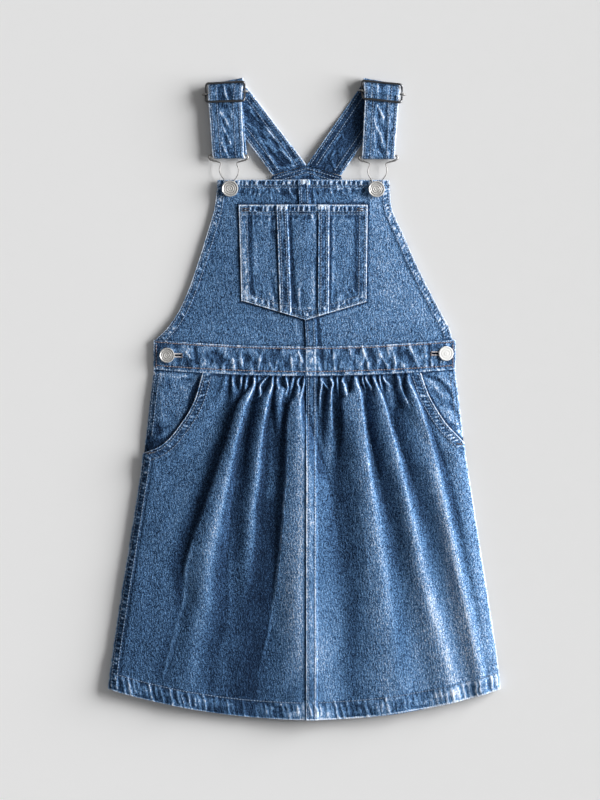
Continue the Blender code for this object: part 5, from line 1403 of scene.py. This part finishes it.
def bibBack():
    r = bibRear
    share = np.linspace(0, 1, r["up"] + 1)[:, None]
    half = read(r["sides"], mix(r["sides"][0][0], r["sides"][-1][0], share))
    t = np.linspace(-1, 1, r["across"] + 1)[None, :]
    x = r["middle"] + half * t
    arch = mix(r["arch"], r["sides"][-1][0], abs(t) * np.ones_like(share))
    y = mix(waistTop(x) + d["gap"], arch, share)
    face = Face(x)
    down = arch - y
    face.lift += 0.20 * (rumple(x / 16, y / 14, 111) + 0.4)
    face.mottle(x, down, 14.0, 113, 0.5)
    # painted shade: the back bib lies in the shadow of the front bib and straps, most by its top edge
    face.deep += 0.42 + 0.2 * ease(1 - down / 1.6)
    face.strokes(x, y, r["creases"], 0.3)
    face.sewn(down, sewing["backBib"])
    face.lift = clamp(face.lift) * 0.6
    high = r["lift"] * ease((y - 188) / 18)
    return shell("bibBack", np.dstack([x, y, high]), d["layer"] + face.lift, 0.0, face, denimShadedBack)


rearBib = bibBack()
print("pocket and back bib done")

# ---- straps
strapLook = dict(
    frontMid=7.7, loopMid=2.1, wrapMid=2.2, thick=1.8, puff=0.8, across=34, step=0.9, hookBar=5.6,
    barHigh=5.2,
    left=dict(sewn=(-30.4, 212.0, 1.6, 221.3), fold=(-91.0, 297.0, -58.2, 303.4),
              mouth=(-90.7, 280.5, -60.2, 281.0), loop=(-87.0, 230.2, -57.6, 230.2), shift=2.6),
    right=dict(sewn=(34.2, 211.7, 2.4, 221.1), fold=(90.0, 296.6, 56.0, 303.4),
               mouth=(88.8, 279.6, 57.4, 281.8), loop=(85.0, 229.7, 54.6, 229.7), shift=0.0))
sliders = dict(
    left=dict(topLeft=(-93.0, 297.6), topRight=(-57.0, 299.6), barLeft=(-93.6, 287.8),
              barRight=(-56.6, 290.6), lowLeft=(-93.4, 280.4), lowRight=(-57.3, 281.4)),
    right=dict(topLeft=(54.4, 300.6), topRight=(92.0, 296.8), barLeft=(54.4, 291.4),
               barRight=(92.4, 288.0), lowLeft=(55.4, 283.6), lowRight=(91.4, 279.8)),
    frameWire=1.0, barWire=0.9, frameHigh=9.9, sideHigh=6.0, straight=3.3, curl=200.0)


def strapStations(side):        # each: outer x, y, inner x, y, height of the middle of the wall
    look, spec = strapLook, strapLook[side]
    sewn, fold, mouth, loop = (np.array(spec[k]) for k in ("sewn", "fold", "mouth", "loop"))
    s = sliders[side]
    bar = np.array(s["barLeft"] + s["barRight"] if side == "left" else s["barRight"] + s["barLeft"])
    floor = look["thick"] / 2
    up, right = np.array([0, 1, 0, 1.0]), np.array([1, 0, 1, 0.0])
    turn = (look["frontMid"] - floor) / 2
    rows = []
    before = fold - up * turn * 1.1
    rise = (2.2, 3.6, 2.6, 0.9, 0, 0, 0)       # the strap's arch over the floor
    rows += [(mix(sewn, before, k / 6), floor + rise[k]) for k in range(7)]
    for k in range(1, 8):
        angle = math.pi * k / 8
        rows.append((before + up * turn * math.sin(angle), floor + turn * (1 - math.cos(angle))))
    barY = (bar[1] + bar[3]) / 2
    over = look["barHigh"] + look["wrapMid"] + look["thick"] + d["gap"]
    for k in range(1, 17):
        pair = mix(before, mouth, k / 16)
        hump = float(ease(1 - abs((pair[1] + pair[3]) / 2 - barY) / 6.2))
        rows.append((pair, mix(look["frontMid"], over, hump)))
    rows += [(mix(mouth, loop, k / 5), look["frontMid"]) for k in range(1, 6)]
    for k in range(1, 8):
        angle = math.pi * k / 8
        rows.append((loop - up * look["loopMid"] * math.sin(angle) + right * spec["shift"] * k / 8,
                     look["hookBar"] + look["loopMid"] * math.cos(angle)))
    rear = loop + right * spec["shift"]
    narrow = np.sign(bar[2] - bar[0]) * 3.6
    tail = bar + np.array([narrow, 0, -narrow, 0])
    low, high = look["hookBar"] - look["loopMid"], look["barHigh"] - look["wrapMid"]
    rows += [(mix(rear, tail, k / 6), mix(low, high, float(ease(k / 3)))) for k in range(7)]
    for k in range(1, 9):
        angle = math.pi * k / 8
        rows.append((tail + up * look["wrapMid"] * math.sin(angle),
                     look["barHigh"] - look["wrapMid"] * math.cos(angle)))
    return np.array([[*pair, z] for pair, z in rows])


def strapLine(side):            # the same, evenly spaced along the strap
    rows = strapStations(side)
    middle = np.column_stack([(rows[:, 0] + rows[:, 2]) / 2, (rows[:, 1] + rows[:, 3]) / 2, rows[:, 4]])
    gone = np.append(0, np.cumsum(np.linalg.norm(np.diff(middle, axis=0), axis=1)))
    keep = np.append(True, np.diff(gone) > 0.05)
    gone, rows = gone[keep], rows[keep]
    count = 2 * int(gone[-1] / strapLook["step"] / 2)
    at = np.linspace(0, gone[-1], count + 1)
    smooth = np.stack([read(list(zip(gone, rows[:, k])), at) for k in range(5)], axis=1)
    return at, smooth


strapCreases = dict(
    frontLeft=[
        (-79.5, 271, -74.5, 263.5, 0.9, 0.9), (-74.5, 263.5, -70, 256, 0.9, 0.8),
        (-76.5, 256, -72.5, 248, 0.9, 0.9), (-72.5, 248, -70, 241.5, 0.9, 0.7),
        (-78.5, 242.5, -75.5, 235, 0.9, 0.8), (-75.5, 235, -72, 228.5, 0.9, 1),
        (-68, 254, -67, 244.5, 0.9, 0.5), (-69, 272, -67, 262.5, 0.9, 0.5),
        (-72.5, 278.5, -70, 272, 0.9, 0.4), (-81.5, 264.5, -80.5, 254, 0.9, 0.35),
        (-78.5, 266.5, -75.5, 258, 1.4, -0.8), (-75.5, 257, -73.5, 251, 1.4, -0.7),
        (-75.5, 250, -73.5, 241.5, 1.5, -0.9), (-73.5, 241.5, -72.5, 236, 1.4, -0.8),
        (-71, 258, -69, 252, 1.6, -0.8), (-69, 245.5, -69, 238.5, 1.3, -0.6),
        (-71, 232, -66, 231, 1.5, -0.8), (-78.5, 235, -76.5, 229, 1.4, -0.6),
        (-80.5, 278.5, -74.5, 276, 2, -0.6), (-72, 268, -70, 263.5, 1.3, -0.5),
        (-76.5, 277, -78.5, 272, 1.3, -0.4), (-83, 295, -83, 282.5, 1.2, 0.9),
        (-76.5, 296, -74.5, 288, 0.9, 0.8), (-74.5, 288, -72.5, 281.5, 0.9, 1),
        (-81.5, 294, -80.5, 283.5, 2.2, -0.9), (-77.5, 295, -76.5, 284.5, 1.6, -0.8),
        (-72, 292, -71, 285.5, 1.6, -1)],
    rearLeft=[
        (-51, 273, -44, 263.5, 0.9, 0.9), (-44, 277, -40.5, 272, 0.9, 0.5),
        (-42.5, 268, -40.5, 264.5, 1.2, 0.8), (-53, 260.5, -46, 254, 0.9, 0.6),
        (-46, 254, -40.5, 243.5, 0.9, 0.7), (-40.5, 243.5, -33, 229, 0.9, 0.8),
        (-33, 229, -27, 219, 0.9, 0.9), (-27, 219, -15.5, 219, 0.9, 0.7), (-33, 252, -27, 245.5, 0.9, 1),
        (-27, 245.5, -22.5, 238, 0.9, 0.9), (-24, 236, -18.5, 232, 0.9, 0.7),
        (-19.5, 232, -12, 225.5, 0.9, 0.9), (-14, 221.5, -10, 220.5, 0.9, 0.8),
        (-36.5, 257, -33, 253, 0.9, 0.6), (-31, 238, -26, 234, 0.9, 0.6), (-54.5, 278.5, -50, 274, 0.9, 0.5),
        (-50, 293, -40.5, 279.5, 0.9, 0.4), (-38.5, 245.5, -34.5, 239.5, 0.9, 0.5),
        (-9, 236, -5, 230, 0.9, 0.3), (-53.5, 280.5, -50, 282.5, 2, -0.8),
        (-53.5, 272, -44, 264.5, 2.5, -0.9), (-50, 266.5, -42.5, 258.5, 2.6, -1),
        (-43.5, 257, -38.5, 245.5, 2.4, -0.8), (-36.5, 239.5, -33, 234, 1.8, -0.7),
        (-30, 247.5, -26, 239.5, 2.6, -1), (-26, 234, -20.5, 230, 1.6, -0.6),
        (-27, 229, -21.5, 220.5, 3, -1), (-20.5, 226.5, -15, 221.5, 2.2, -0.9),
        (-33, 221.5, -29, 217, 1.3, -0.6), (-40.5, 236, -34.5, 226.5, 1.5, -0.5),
        (-16.5, 238, -10, 228.5, 1.8, -0.5), (-40.5, 264.5, -34.5, 258, 1.6, -0.5),
        (-52, 291, -46, 281.5, 2, -0.3)],
    frontRight=[
        (69, 277.5, 71.5, 272, 0.9, 1), (71.5, 272, 74.5, 266.5, 1.1, 1.1),
        (74.5, 266.5, 75.5, 258.5, 0.9, 0.6), (66, 264.5, 68, 257, 0.9, 0.9), (68, 257, 71.5, 251, 0.9, 1),
        (71.5, 251, 73.5, 243.5, 0.9, 1.1), (73.5, 243.5, 74.5, 238, 1.3, 0.9),
        (66, 251, 67, 239.5, 0.9, 0.9), (67, 238.5, 70, 232, 0.9, 0.6), (79.5, 279.5, 79.5, 260.5, 0.9, 0.9),
        (79.5, 260.5, 78.5, 230, 0.9, 0.8), (63, 274, 64, 255, 0.9, 0.3), (70, 234, 73.5, 229, 0.9, 0.7),
        (69, 274, 71, 266.5, 1.3, -0.8), (71, 266.5, 71, 259.5, 1.3, -0.7), (69, 250, 69, 238.5, 2, -1),
        (71, 249, 71, 240.5, 1.5, -0.5), (77.5, 277, 76.5, 264.5, 1.6, -0.5),
        (76.5, 263.5, 76.5, 243.5, 1.7, -0.9), (76.5, 241.5, 75.5, 236, 1.4, -0.6),
        (72.5, 236, 74.5, 230, 2, -0.8), (74.5, 277.5, 76.5, 274, 1.3, -0.5),
        (62, 277.5, 65, 276, 1.4, -0.5), (69, 296.5, 70, 284.5, 1.3, 1), (77.5, 296, 76.5, 291, 0.9, 0.6),
        (79.5, 296, 78.5, 282.5, 1.2, 0.8), (72.5, 296, 72.5, 283.5, 2.2, -0.8),
        (77.5, 291, 77.5, 283.5, 1.4, -0.9), (83, 295, 85, 283.5, 2, -0.3)],
    rearRight=[
        (37.5, 258.5, 33, 249, 0.9, 0.6), (33, 249, 28, 242.5, 0.9, 0.7), (28, 242.5, 25, 238, 0.9, 0.6),
        (25, 236, 19.5, 229, 0.9, 0.9), (19.5, 229, 16.5, 223.5, 1.2, 0.9), (28, 234, 25, 226.5, 0.9, 0.9),
        (35.5, 253, 37.5, 245.5, 0.9, 0.5), (34.5, 238, 37.5, 234, 0.9, 0.5),
        (33, 236, 33.5, 228.5, 0.9, 0.6), (26, 224.5, 29, 219, 1.1, 1), (28, 226.5, 27, 223.5, 0.9, 0.5),
        (21.5, 220.5, 20.5, 218, 0.9, 0.7), (36.5, 226.5, 34.5, 219, 0.9, 0.5),
        (21.5, 251, 28, 255, 1.5, 0.4), (16.5, 238.5, 20.5, 236, 1.5, 0.5),
        (31, 260.5, 34.5, 266.5, 1.5, 0.3), (32, 245.5, 28, 238, 1.8, -0.9),
        (33.5, 255, 35.5, 258.5, 1.5, -0.6), (30, 236, 31, 226.5, 1.6, -0.9),
        (23, 234, 21.5, 228.5, 1.2, -0.6), (15.5, 222.5, 20.5, 218, 2, -1), (24, 223.5, 25, 217, 1.3, -0.8),
        (30, 223.5, 32, 215, 1.6, -0.6), (27, 240.5, 24, 236, 1.2, -0.6), (14.5, 236, 11, 230, 1.5, -0.4),
        (36.5, 240.5, 33.5, 239.5, 1.5, -0.5), (32, 267, 35.5, 274, 2.5, -0.6),
        (45, 283.5, 51, 296.5, 4, -0.6), (49, 266.5, 43, 245.5, 5, -1),
        (41.5, 264.5, 37.5, 258.5, 2.5, -0.6), (43, 236, 37.5, 226.5, 3, -0.5)])


def strapFace(sheet, s, across, width, seed, rows, deep):
    face = Face(across)
    edge = np.minimum(across, width - across)
    ridge = noise((s + 0.5 * across) / 6.5, across / 2.6 + seed, seed + 1)
    middle = ease((edge - 7.5) / 2)
    face.lift += 0.5 * (ridge - 0.5) + 0.3 * rumple(s / 12, across / 9, seed + 2)
    face.wear += (0.46 * ease((ridge - 0.55) / 0.3) + 0.10 * rumple(s / 8, across / 7, seed + 4)) * middle
    # the last term is painted shade on the parts that lie behind
    face.deep += 0.40 * ease((0.50 - ridge) / 0.35) * middle + deep
    strong = 0.95 if np.ndim(deep) == 0 else 1.3
    face.strokes(sheet[..., 0], sheet[..., 1], [(*row[:5], row[5] * strong) for row in rows], 0.4)
    face.mottle(s, edge - 0.8, 7.0, seed + 6, 0.8)
    face.sewn(edge, sewing["strap"])
    face.edge(edge, s, seed, 1.7, 1.5)
    face.lift -= 0.22 * ease(1 - edge / 1.3)
    face.wear *= 1 - 0.5 * clamp(deep)
    return face


straps, strapSheets = {}, {}
for side, seed in (("left", 121), ("right", 131)):
    s, rows = strapLine(side)
    share = np.linspace(0, 1, strapLook["across"] + 1)
    share = share - 0.035 * np.sin(2 * math.pi * share)
    outer, inner = rows[:, [0, 1, 4]], rows[:, [2, 3, 4]]
    if side == "right":
        outer, inner = inner, outer
    sheet = outer[:, None] + (inner - outer)[:, None] * share[None, :, None]
    width = np.linalg.norm(inner - outer, axis=1)[:, None]
    gone, across = s[:, None] * np.ones_like(share), share * width
    high = sheet[:, strapLook["across"] // 2, 1]
    tip = s[np.argmax(high)]
    bottom = s[np.argmin(high + 1e3 * (s < tip))]
    dark = 0.32             # the part behind lies in shade, and the right one more so towards its fold
    if side == "right":
        dark = 0.92 + 0.9 * ease((sheet[..., 0] - 42) / 12) * ease((sheet[..., 1] - 236) / 16)
    dark = dark * (gone < tip) + 1.0 * (gone > bottom - 2) + 0.3 * ease(1 - gone / 3)
    upper = strapFace(sheet, gone, across, width, seed, strapCreases["rear" + side.title()], dark)
    under = strapFace(sheet, gone, across, width, seed + 5, strapCreases["front" + side.title()], 0.0)
    half, puff = strapLook["thick"] / 2, strapLook["puff"]
    straps[side] = shell("strap" + side.title(), sheet, half + upper.lift * puff, half + under.lift * puff,
                         upper, denimFace, (across, gone), under, stride=1, bulge=0.35)
    strapSheets[side] = (sheet, gridNormals(sheet), half, upper, under, s, share)
print("straps done")

# ---- sliders
hooks = dict(
    bends=[(17.3, 31.8, 5.6), (18.1, 31.0, 5.6), (18.3, 29.8, 5.6), (17.6, 28.6, 5.7), (15.6, 27.4, 5.7),
           (10.6, 25.9, 5.8), (8.3, 25.0, 5.8), (7.6, 23.6, 5.8), (8.6, 20.6, 5.8), (9.0, 17.6, 5.8),
           (8.4, 14.2, 5.8), (6.6, 11.0, 5.8), (4.9, 8.6, 5.8), (4.1, 5.4, 5.8), (4.0, 2.0, 5.8)],
    lean=dict(left=-1.6, right=1.8), seat=4.0, wire=0.6, bar=15.0)
bibButtons = dict(left=(-70.6, 198.4, 7.8), right=(68.1, 197.9, 7.8))
wires = {}
for side in ("left", "right"):
    s = sliders
    own = s[side]
    corners = [np.array((*own[k], z)) for k, z in (
        ("topLeft", s["frameHigh"]), ("topRight", s["frameHigh"]), ("barRight", s["sideHigh"]),
        ("lowRight", s["frameHigh"]), ("lowLeft", s["frameHigh"]), ("barLeft", s["sideHigh"]))]
    path = []
    for k, here in enumerate(corners):          # rounded corners; the front bars are thicker than the sides
        before, after = corners[k - 1], corners[(k + 1) % 6]
        a = here + (before - here) / np.linalg.norm(before - here) * 2.6
        b = here + (after - here) / np.linalg.norm(after - here) * 2.6
        front = k in (0, 1, 3, 4)
        for t in (0.0, 0.25, 0.5, 0.75, 1.0):
            point = (1 - t) ** 2 * a + 2 * t * (1 - t) * here + t * t * b
            thick = 1.12 if front else 0.80
            path.append((*point, thick))
        if k in (0, 3):
            path += [(*mix(b, after, t), 1.18 if k == 3 else 1.05) for t in (0.3, 0.6)]
    wires["slider_frame_" + side] = tube("sliderFrame" + side.title(), path, s["frameWire"], sliderMetal,
                                         closed=True)
    left, right = np.array((*own["barLeft"], s["sideHigh"])), np.array((*own["barRight"], s["sideHigh"]))
    run = (right - left) / np.linalg.norm(right - left)
    reach = s["frameWire"] + s["barWire"] + 3 * d["gap"]
    ends = []
    for end, out in ((left, -run), (right, run)):
        curl = [end - out * s["straight"] + np.array((0, 0, strapLook["barHigh"] - s["sideHigh"]))]
        for k in range(8):
            angle = math.radians(-90 + s["curl"] * k / 7)
            curl.append(end + out * reach * math.cos(angle) + np.array((0, 0, reach * math.sin(angle))))
        ends.append(curl)
    path = ends[0][::-1] + ends[1]
    wires["slider_bar_" + side] = tube("sliderBar" + side.title(), path, s["barWire"], wireMetal)

# ---- hooks
for side in ("left", "right"):
    bx, by, _ = bibButtons[side]
    h = hooks
    half = [np.array(p) for p in h["bends"]]
    seat = [np.array((h["seat"] * math.cos(a), -h["seat"] * math.sin(a), half[-1][2]))
            for a in (math.pi * k / 8 for k in range(9))]
    mirrored = [p * (-1, 1, 1) for p in half]
    bar = [np.array((mix(-h["bar"], h["bar"], k / 3), half[0][1], h["bends"][0][2])) for k in range(4)]
    ring = bar + half + seat + mirrored[::-1]
    lean = h["lean"][side] / half[0][1]
    path = [(bx + p[0] + lean * max(0.0, p[1]), by + p[1], p[2], float(mix(0.80, 1.7, ease((p[1] - 24) / 4))))
            for p in ring]
    wires["hook_" + side] = tube("hook" + side.title(), path, h["wire"], wireMetal, closed=True)
print("wires done")

# ---- buttons: profiles are shares of the radius, heights from the cap's underside
buttonLook = dict(
    shank=2.4,
    rings=[(0.00, 1.80), (0.08, 1.83), (0.17, 2.05), (0.22, 1.55), (0.29, 1.40), (0.33, 1.90), (0.40, 2.06),
           (0.46, 1.90), (0.49, 1.42), (0.54, 1.40), (0.58, 1.90), (0.64, 2.06), (0.70, 1.90), (0.73, 1.38),
           (0.78, 1.36), (0.82, 2.10), (0.88, 2.38), (0.94, 2.30), (0.98, 1.90), (1.00, 1.40), (0.99, 0.80),
           (0.94, 0.35), (0.84, 0.15), (0.40, 0.10)],
    plain=[(0.00, 2.20), (0.12, 2.22), (0.20, 2.30), (0.26, 2.18), (0.50, 2.22), (0.56, 2.30), (0.62, 2.16),
           (0.78, 2.20), (0.84, 2.34), (0.88, 2.36), (0.94, 2.26), (0.98, 1.90), (1.00, 1.40), (0.99, 0.80),
           (0.94, 0.35), (0.84, 0.15), (0.40, 0.10)])


def button(name, spot, foot, base, cap="rings", material=buttonMetal):
    profile = [(r * spot[2], base + z) for r, z in buttonLook[cap]]
    profile += [(buttonLook["shank"], base + 0.1), (buttonLook["shank"], foot)]
    return lathe(name, profile, spot, material)


buttons = {}
for side, spot in bibButtons.items():
    foot = float(bibHigh(spot[0], spot[1], side)) + d["gap"]
    buttons["bib_button_" + side] = button("bibButton" + side.title(), spot, foot, foot + 2.4)
for side, spot in sideButtons.items():
    cap, material = ("rings", buttonMetal) if side == "left" else ("plain", brightMetal)
    foot, base = d["double"] + d["gap"], float(waistHigh(spot[0])) + 0.6
    buttons["side_button_" + side] = button("sideButton" + side.title(), spot, foot, base, cap, material)
print("buttons done")


# ---- stitches
tackLook = dict(pitch=0.42, radius=0.26, lift=0.15)
holeLook = dict(count=22, pitch=0.38, near=0.7, far=2.3, radius=0.23, lift=0.12, end=0.6)


def sew(pile, made, x, y, lift=0.0, **how):     # a row on the face that made gives at points
    high, face = made(x, y)
    pile.row(x, y, high + face.lift + lift, **how)


def sewAcross(pile, made, x0, x1, line, seed):
    x = np.linspace(x0, x1, int(abs(x1 - x0)) + 2)
    sew(pile, made, x, line(x), seed=seed)


def sewDown(pile, made, y0, y1, line, seed):
    y = np.linspace(y0, y1, int(abs(y1 - y0)) + 2)
    sew(pile, made, line(y), y, seed=seed)


def sewBeside(pile, made, spots, inward, start, stop, seed):        # inward from a row of spots
    x, y = along(spots, np.linspace(start, stop, 160))
    dx, dy = np.gradient(x), np.gradient(y)
    size = np.hypot(dx, dy)
    sew(pile, made, x - dy / size * inward, y + dx / size * inward, seed=seed)


def barTack(made, x0, y0, x1, y1, width, seed):     # a dense row of short threads across a line
    long, pitch = math.hypot(x1 - x0, y1 - y0), tackLook["pitch"]
    ux, uy = (x1 - x0) / long, (y1 - y0) / long
    off = np.linspace(-width / 2, width / 2, 4)
    for k in range(int(long / pitch)):
        x, y = x0 + ux * k * pitch + uy * off, y0 + uy * k * pitch - ux * off
        sew(tacks, made, x, y, tackLook["lift"], length=width * 0.9, gap=width * 0.08,
            radius=tackLook["radius"], seed=seed + k, tone=0.3, dots=False)


half = d["seamHalf"]
centreRow = half - sewing["centre"]
seams = Threads()
for side, sign in signs.items():
    made = partial(skirtFace, side=side)
    ends = sorted((sign * (d["halfHem"] - 3), seamMiddle(0) + sign * (half + 1.0)))
    sewAcross(seams, made, *ends, lambda x: hemLow(x) + d["hemDepth"] - sewing["hem"], 3)
    for inward in sewing["mouth"]:
        sewBeside(seams, made, d["mouth"][side], -inward * sign, 0.01, 0.985, 5)
for inside, top, seed in zip(sewing["side"], (-58, -57), (7, 8)):
    sewDown(seams, partial(skirtFace, side="left"), top, -273, lambda y: -(halfWidth(y) - inside), seed)
for off in (-centreRow, centreRow):
    sewDown(seams, partial(skirtFace, side="right"), 19.5, -302, lambda y: seamMiddle(y) + off, 9)
for side, low in (("left", -36), ("right", -30)):
    made = partial(facingFace, side=side)
    for inside in sewing["facing"]:
        sewDown(seams, made, 24, low, lambda y: signs[side] * (halfWidth(y) - inside), 13)
skirtSeams = seams.done("skirtStitches", seamThread)

seams = Threads()
end = d["halfWaist"] - 1.5
sewAcross(seams, bandFace, -end, end, lambda x: waistTop(x) - sewing["bandTop"], 15)
sewAcross(seams, bandFace, -end, end, lambda x: waistLow(x) + sewing["bandLow"], 16)
for sign in (-1, 1):
    sewDown(seams, bandFace, 29, 52, lambda y: y * 0 + sign * (d["halfWaist"] - 2.4), 17)
bandSeams = seams.done("waistbandStitches", bandThread)

seams = Threads()
for side, sign in signs.items():
    made = partial(bibFace, side=side)
    ends = sorted((sign * 81.0, seamMiddle(200) + sign * (half + 1.4)))
    for down in sewing["bibTop"]:
        sewAcross(seams, made, *ends, lambda x: d["bibTop"] - down + x * 0, 19)
    for inward in sewing["armhole"]:
        sewBeside(seams, made, d["armhole"][side], inward * sign, 0.03, 0.93, 21)
for off in (-centreRow, centreRow):
    for low, top, seed in ((50.5, 72, 23), (185, 206, 24)):
        sewDown(seams, partial(bibFace, side="right"), low, top, lambda y: seamMiddle(y) + off, seed)
bibSeams = seams.done("bibStitches", seamThread)


def pocketAny(x, y):            # the chest pocket's face, whichever of its panels a point is on
    part = (x > pocketAt("stripLeft", y) - half) & (x < pocketAt("stripRight", y) + half)
    high, plain = pocketFace(x, y, "side")
    _, lapped = pocketFace(x, y, "middle")
    plain.lift = np.where(part, lapped.lift, plain.lift)
    return high, plain


seams = Threads()
for off in sewing["pocket"]:
    for edge, inward, seed in (("left", off, 25), ("right", -off, 26)):
        sewDown(seams, pocketAny, 91.5 + off * 0.4, 182, lambda y: pocketAt(edge, y) + inward, seed)
    for x0, x1, seed in ((-59.6 + off, pocket["pointX"], 27), (pocket["pointX"], 58.2 - off, 28)):
        sewAcross(seams, pocketAny, x0, x1, lambda x: pocketLow(x) + off * 1.04, seed)
for down in sewing["pocketTop"]:
    sewAcross(seams, pocketAny, -60, 57.5, lambda x: pocket["top"] - down + x * 0, 29)
for strip in ("stripLeft", "stripRight"):
    for off in (sewing["pocketStrip"] - half, half - sewing["pocketStrip"]):
        sewDown(seams, pocketAny, 84, 182, lambda y: pocketAt(strip, y) + off, 31)
pocketSeams = seams.done("pocketStitches", seamThread)


def onSheet(values, share, t):          # values on a strap's grid, read at a share of its width for each row
    if values.ndim == 3:
        return np.stack([onSheet(values[..., c], share, t) for c in range(3)], axis=1)
    return np.array([np.interp(at, share, row) for at, row in zip(t, values)])


seams = Threads()
for side, seed in (("left", 33), ("right", 43)):
    sheet, normal, thick, upper, under, s, share = strapSheets[side]
    fold = int(np.argmax(sheet[:, strapLook["across"] // 2, 1]))
    width = np.linalg.norm(sheet[:, -1] - sheet[:, 0], axis=1)
    outer, inner = sewing["strap"]
    for way, face, first, last in ((1, upper, 3, fold - 4), (-1, under, fold + 4, len(s) - 10)):
        for off in (outer, inner, width - inner, width - outer):
            up = onSheet(normal, share, off / width) * way
            lift = onSheet(face.lift, share, off / width) * strapLook["puff"]
            line = (onSheet(sheet, share, off / width) + up * (thick + lift)[:, None])[first:last]
            seams.row(line[:, 0], line[:, 1], line[:, 2], seed, up=up[first:last])
            seed += 1
strapSeams = seams.done("strapStitches", seamThread)


def rearFace(x, y):
    face = Face(x)
    face.lift += 1.1
    return x * 0 + bibRear["lift"], face


seams = Threads()
for drop in sewing["backBib"]:
    sewAcross(seams, rearFace, -29, 34, lambda x: archHigh(x, drop), 35)
rearSeams = seams.done("backBibStitches", seamThread)

# ---- buttonholes and bar tacks
holes, tacks = Threads(), Threads()
for side, (bx, by, radius) in sideButtons.items():
    inward = -signs[side]
    for k in range(holeLook["count"]):
        for sign in (-1, 1):
            y = np.linspace(by + sign * holeLook["near"], by + sign * holeLook["far"], 4)
            x = np.full(4, bx + inward * (radius - 1.5 + holeLook["pitch"] * k))
            sew(holes, bandFace, x, y, holeLook["lift"], length=1.4, gap=0.15, radius=holeLook["radius"],
                seed=51 + k, tone=0.55, dots=False)
    end = bx + inward * (bandLook["holeLong"] + holeLook["end"])
    barTack(bandFace, end, by - 2.2, end, by + 2.2, 2.0, 61)
for edge, inward in ((-60.6, 1), (57.6, -1)):
    for down in (3.2, 5.2):
        y = pocket["top"] - down
        barTack(pocketAny, edge + inward * 1.6, y, edge + inward * 8.4, y, 1.2, 71)
for side, x0, y0, x1, y1, seed in (("left", 2.4, -0.6, 9.5, 0.4, 81), ("right", -7.5, -0.4, -1.2, -1.4, 91)):
    x, y = d["mouth"][side][-1]
    barTack(partial(skirtFace, side=side), x + x0, y + y0, x + x1, y + y1, 1.8, seed)
holeThreads = holes.done("buttonholeThreads", paleThread)
tackThreads = tacks.done("barTacks", rustThread)
print("stitches done")

# ---- what stands for which solid; the solids are hidden
solids = {"skirt_back": back, "waistband_front": band, "waistband_back": bandRear, "bib_back": rearBib,
          **wires, **buttons}
for part, piece in zip(("left", "middle", "right"), pockets):
    solids["chest_pocket_" + part] = piece
for kind, pair in (("skirt_front", skirt), ("hip_facing", facings), ("bib_front", bib), ("strap", straps)):
    for side, piece in pair.items():
        solids[kind + "_" + side] = piece
slots = dict(button="button_metal", hook="hook_wire", slider="slider_wire", back="denim_back")
for node, piece in solids.items():
    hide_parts(node)
    next((slot for word, slot in slots.items() if word in node), "denim")

# ---- floor, light and camera
stage = dict(
    floor=3.0, keyAt=(1.58, 0.40, 0.62), keySize=(1.3, 1.0), keyPower=84.0,
    fillAt=(-0.2, -0.1, 2.8), fillSize=1.6, fillPower=1.0, world=0.21,
    even=(0.684, -0.753, -0.195, 0.193, 0.260, -0.023), farShade=0.44,
    camera=(-0.0043, -0.0016, 2.2), frameHigh=0.760, sensor=24.0)


def floorFinish():
    b = Board("paleFloor")
    at = b.add("ShaderNodeTexCoord", out="Object")
    x = b.add("ShaderNodeSeparateXYZ", None, {0: at})
    y = Value(b, x.socket.node.outputs[1])
    far = b.add("ShaderNodeClamp", None, {0: x - 0.45, 1: 0.0, 2: 0.6})       # towards the key light
    x, y = (b.add("ShaderNodeClamp", None, {0: v, 1: -0.45, 2: 0.45}) for v in (x, y))
    grain = b.cloudy(at, 60.0, detail=3.0)
    c = stage["even"]
    even = c[0] + x * c[1] + y * c[2] + x * x * c[3] + y * y * c[4] + x * y * c[5] + (grain - 0.5) * 0.01
    even = even - far * stage["farShade"]
    shade = b.add("ShaderNodeCombineColor", None, {0: even, 1: even, 2: even})
    return b.done({"Base Color": shade, "Roughness": 0.9, "Specular IOR Level": 0.1})


floorMesh = bpy.data.meshes.new("floor")
corners = [(x * stage["floor"], y * stage["floor"], 0) for x, y in ((-1, -1), (1, -1), (1, 1), (-1, 1))]
floorMesh.from_pydata(corners, [], [(0, 1, 2, 3)])
floor = bpy.data.objects.new("floor", floorMesh)
floorMesh.materials.append(floorFinish())
bpy.context.scene.collection.objects.link(floor)


def areaLight(name, place, size, power):         # a lamp over the dress, turned to its middle
    lamp = bpy.data.lights.new(name, "AREA")
    lamp.shape = "RECTANGLE"
    lamp.size, lamp.size_y = size
    lamp.energy = power
    made = bpy.data.objects.new(name, lamp)
    made.location = place
    made.rotation_euler = (-Vector(place)).to_track_quat("-Z", "Y").to_euler()
    bpy.context.scene.collection.objects.link(made)


areaLight("key", stage["keyAt"], stage["keySize"], stage["keyPower"])
areaLight("fill", stage["fillAt"], (stage["fillSize"], stage["fillSize"]), stage["fillPower"])
world = bpy.data.worlds.new("studio")
world.use_nodes = True
sky = world.node_tree.nodes["Background"].inputs
sky["Color"].default_value = (1.0, 1.0, 1.0, 1)
sky["Strength"].default_value = stage["world"]
bpy.context.scene.world = world
bpy.context.scene.view_settings.view_transform = "Standard"

lens = bpy.data.cameras.new("camera")
lens.sensor_fit = "VERTICAL"
lens.sensor_height = stage["sensor"]
lens.lens = stage["sensor"] * stage["camera"][2] / stage["frameHigh"]
camera = bpy.data.objects.new("camera", lens)
camera.location = stage["camera"]
bpy.context.scene.collection.objects.link(camera)
bpy.context.scene.camera = camera
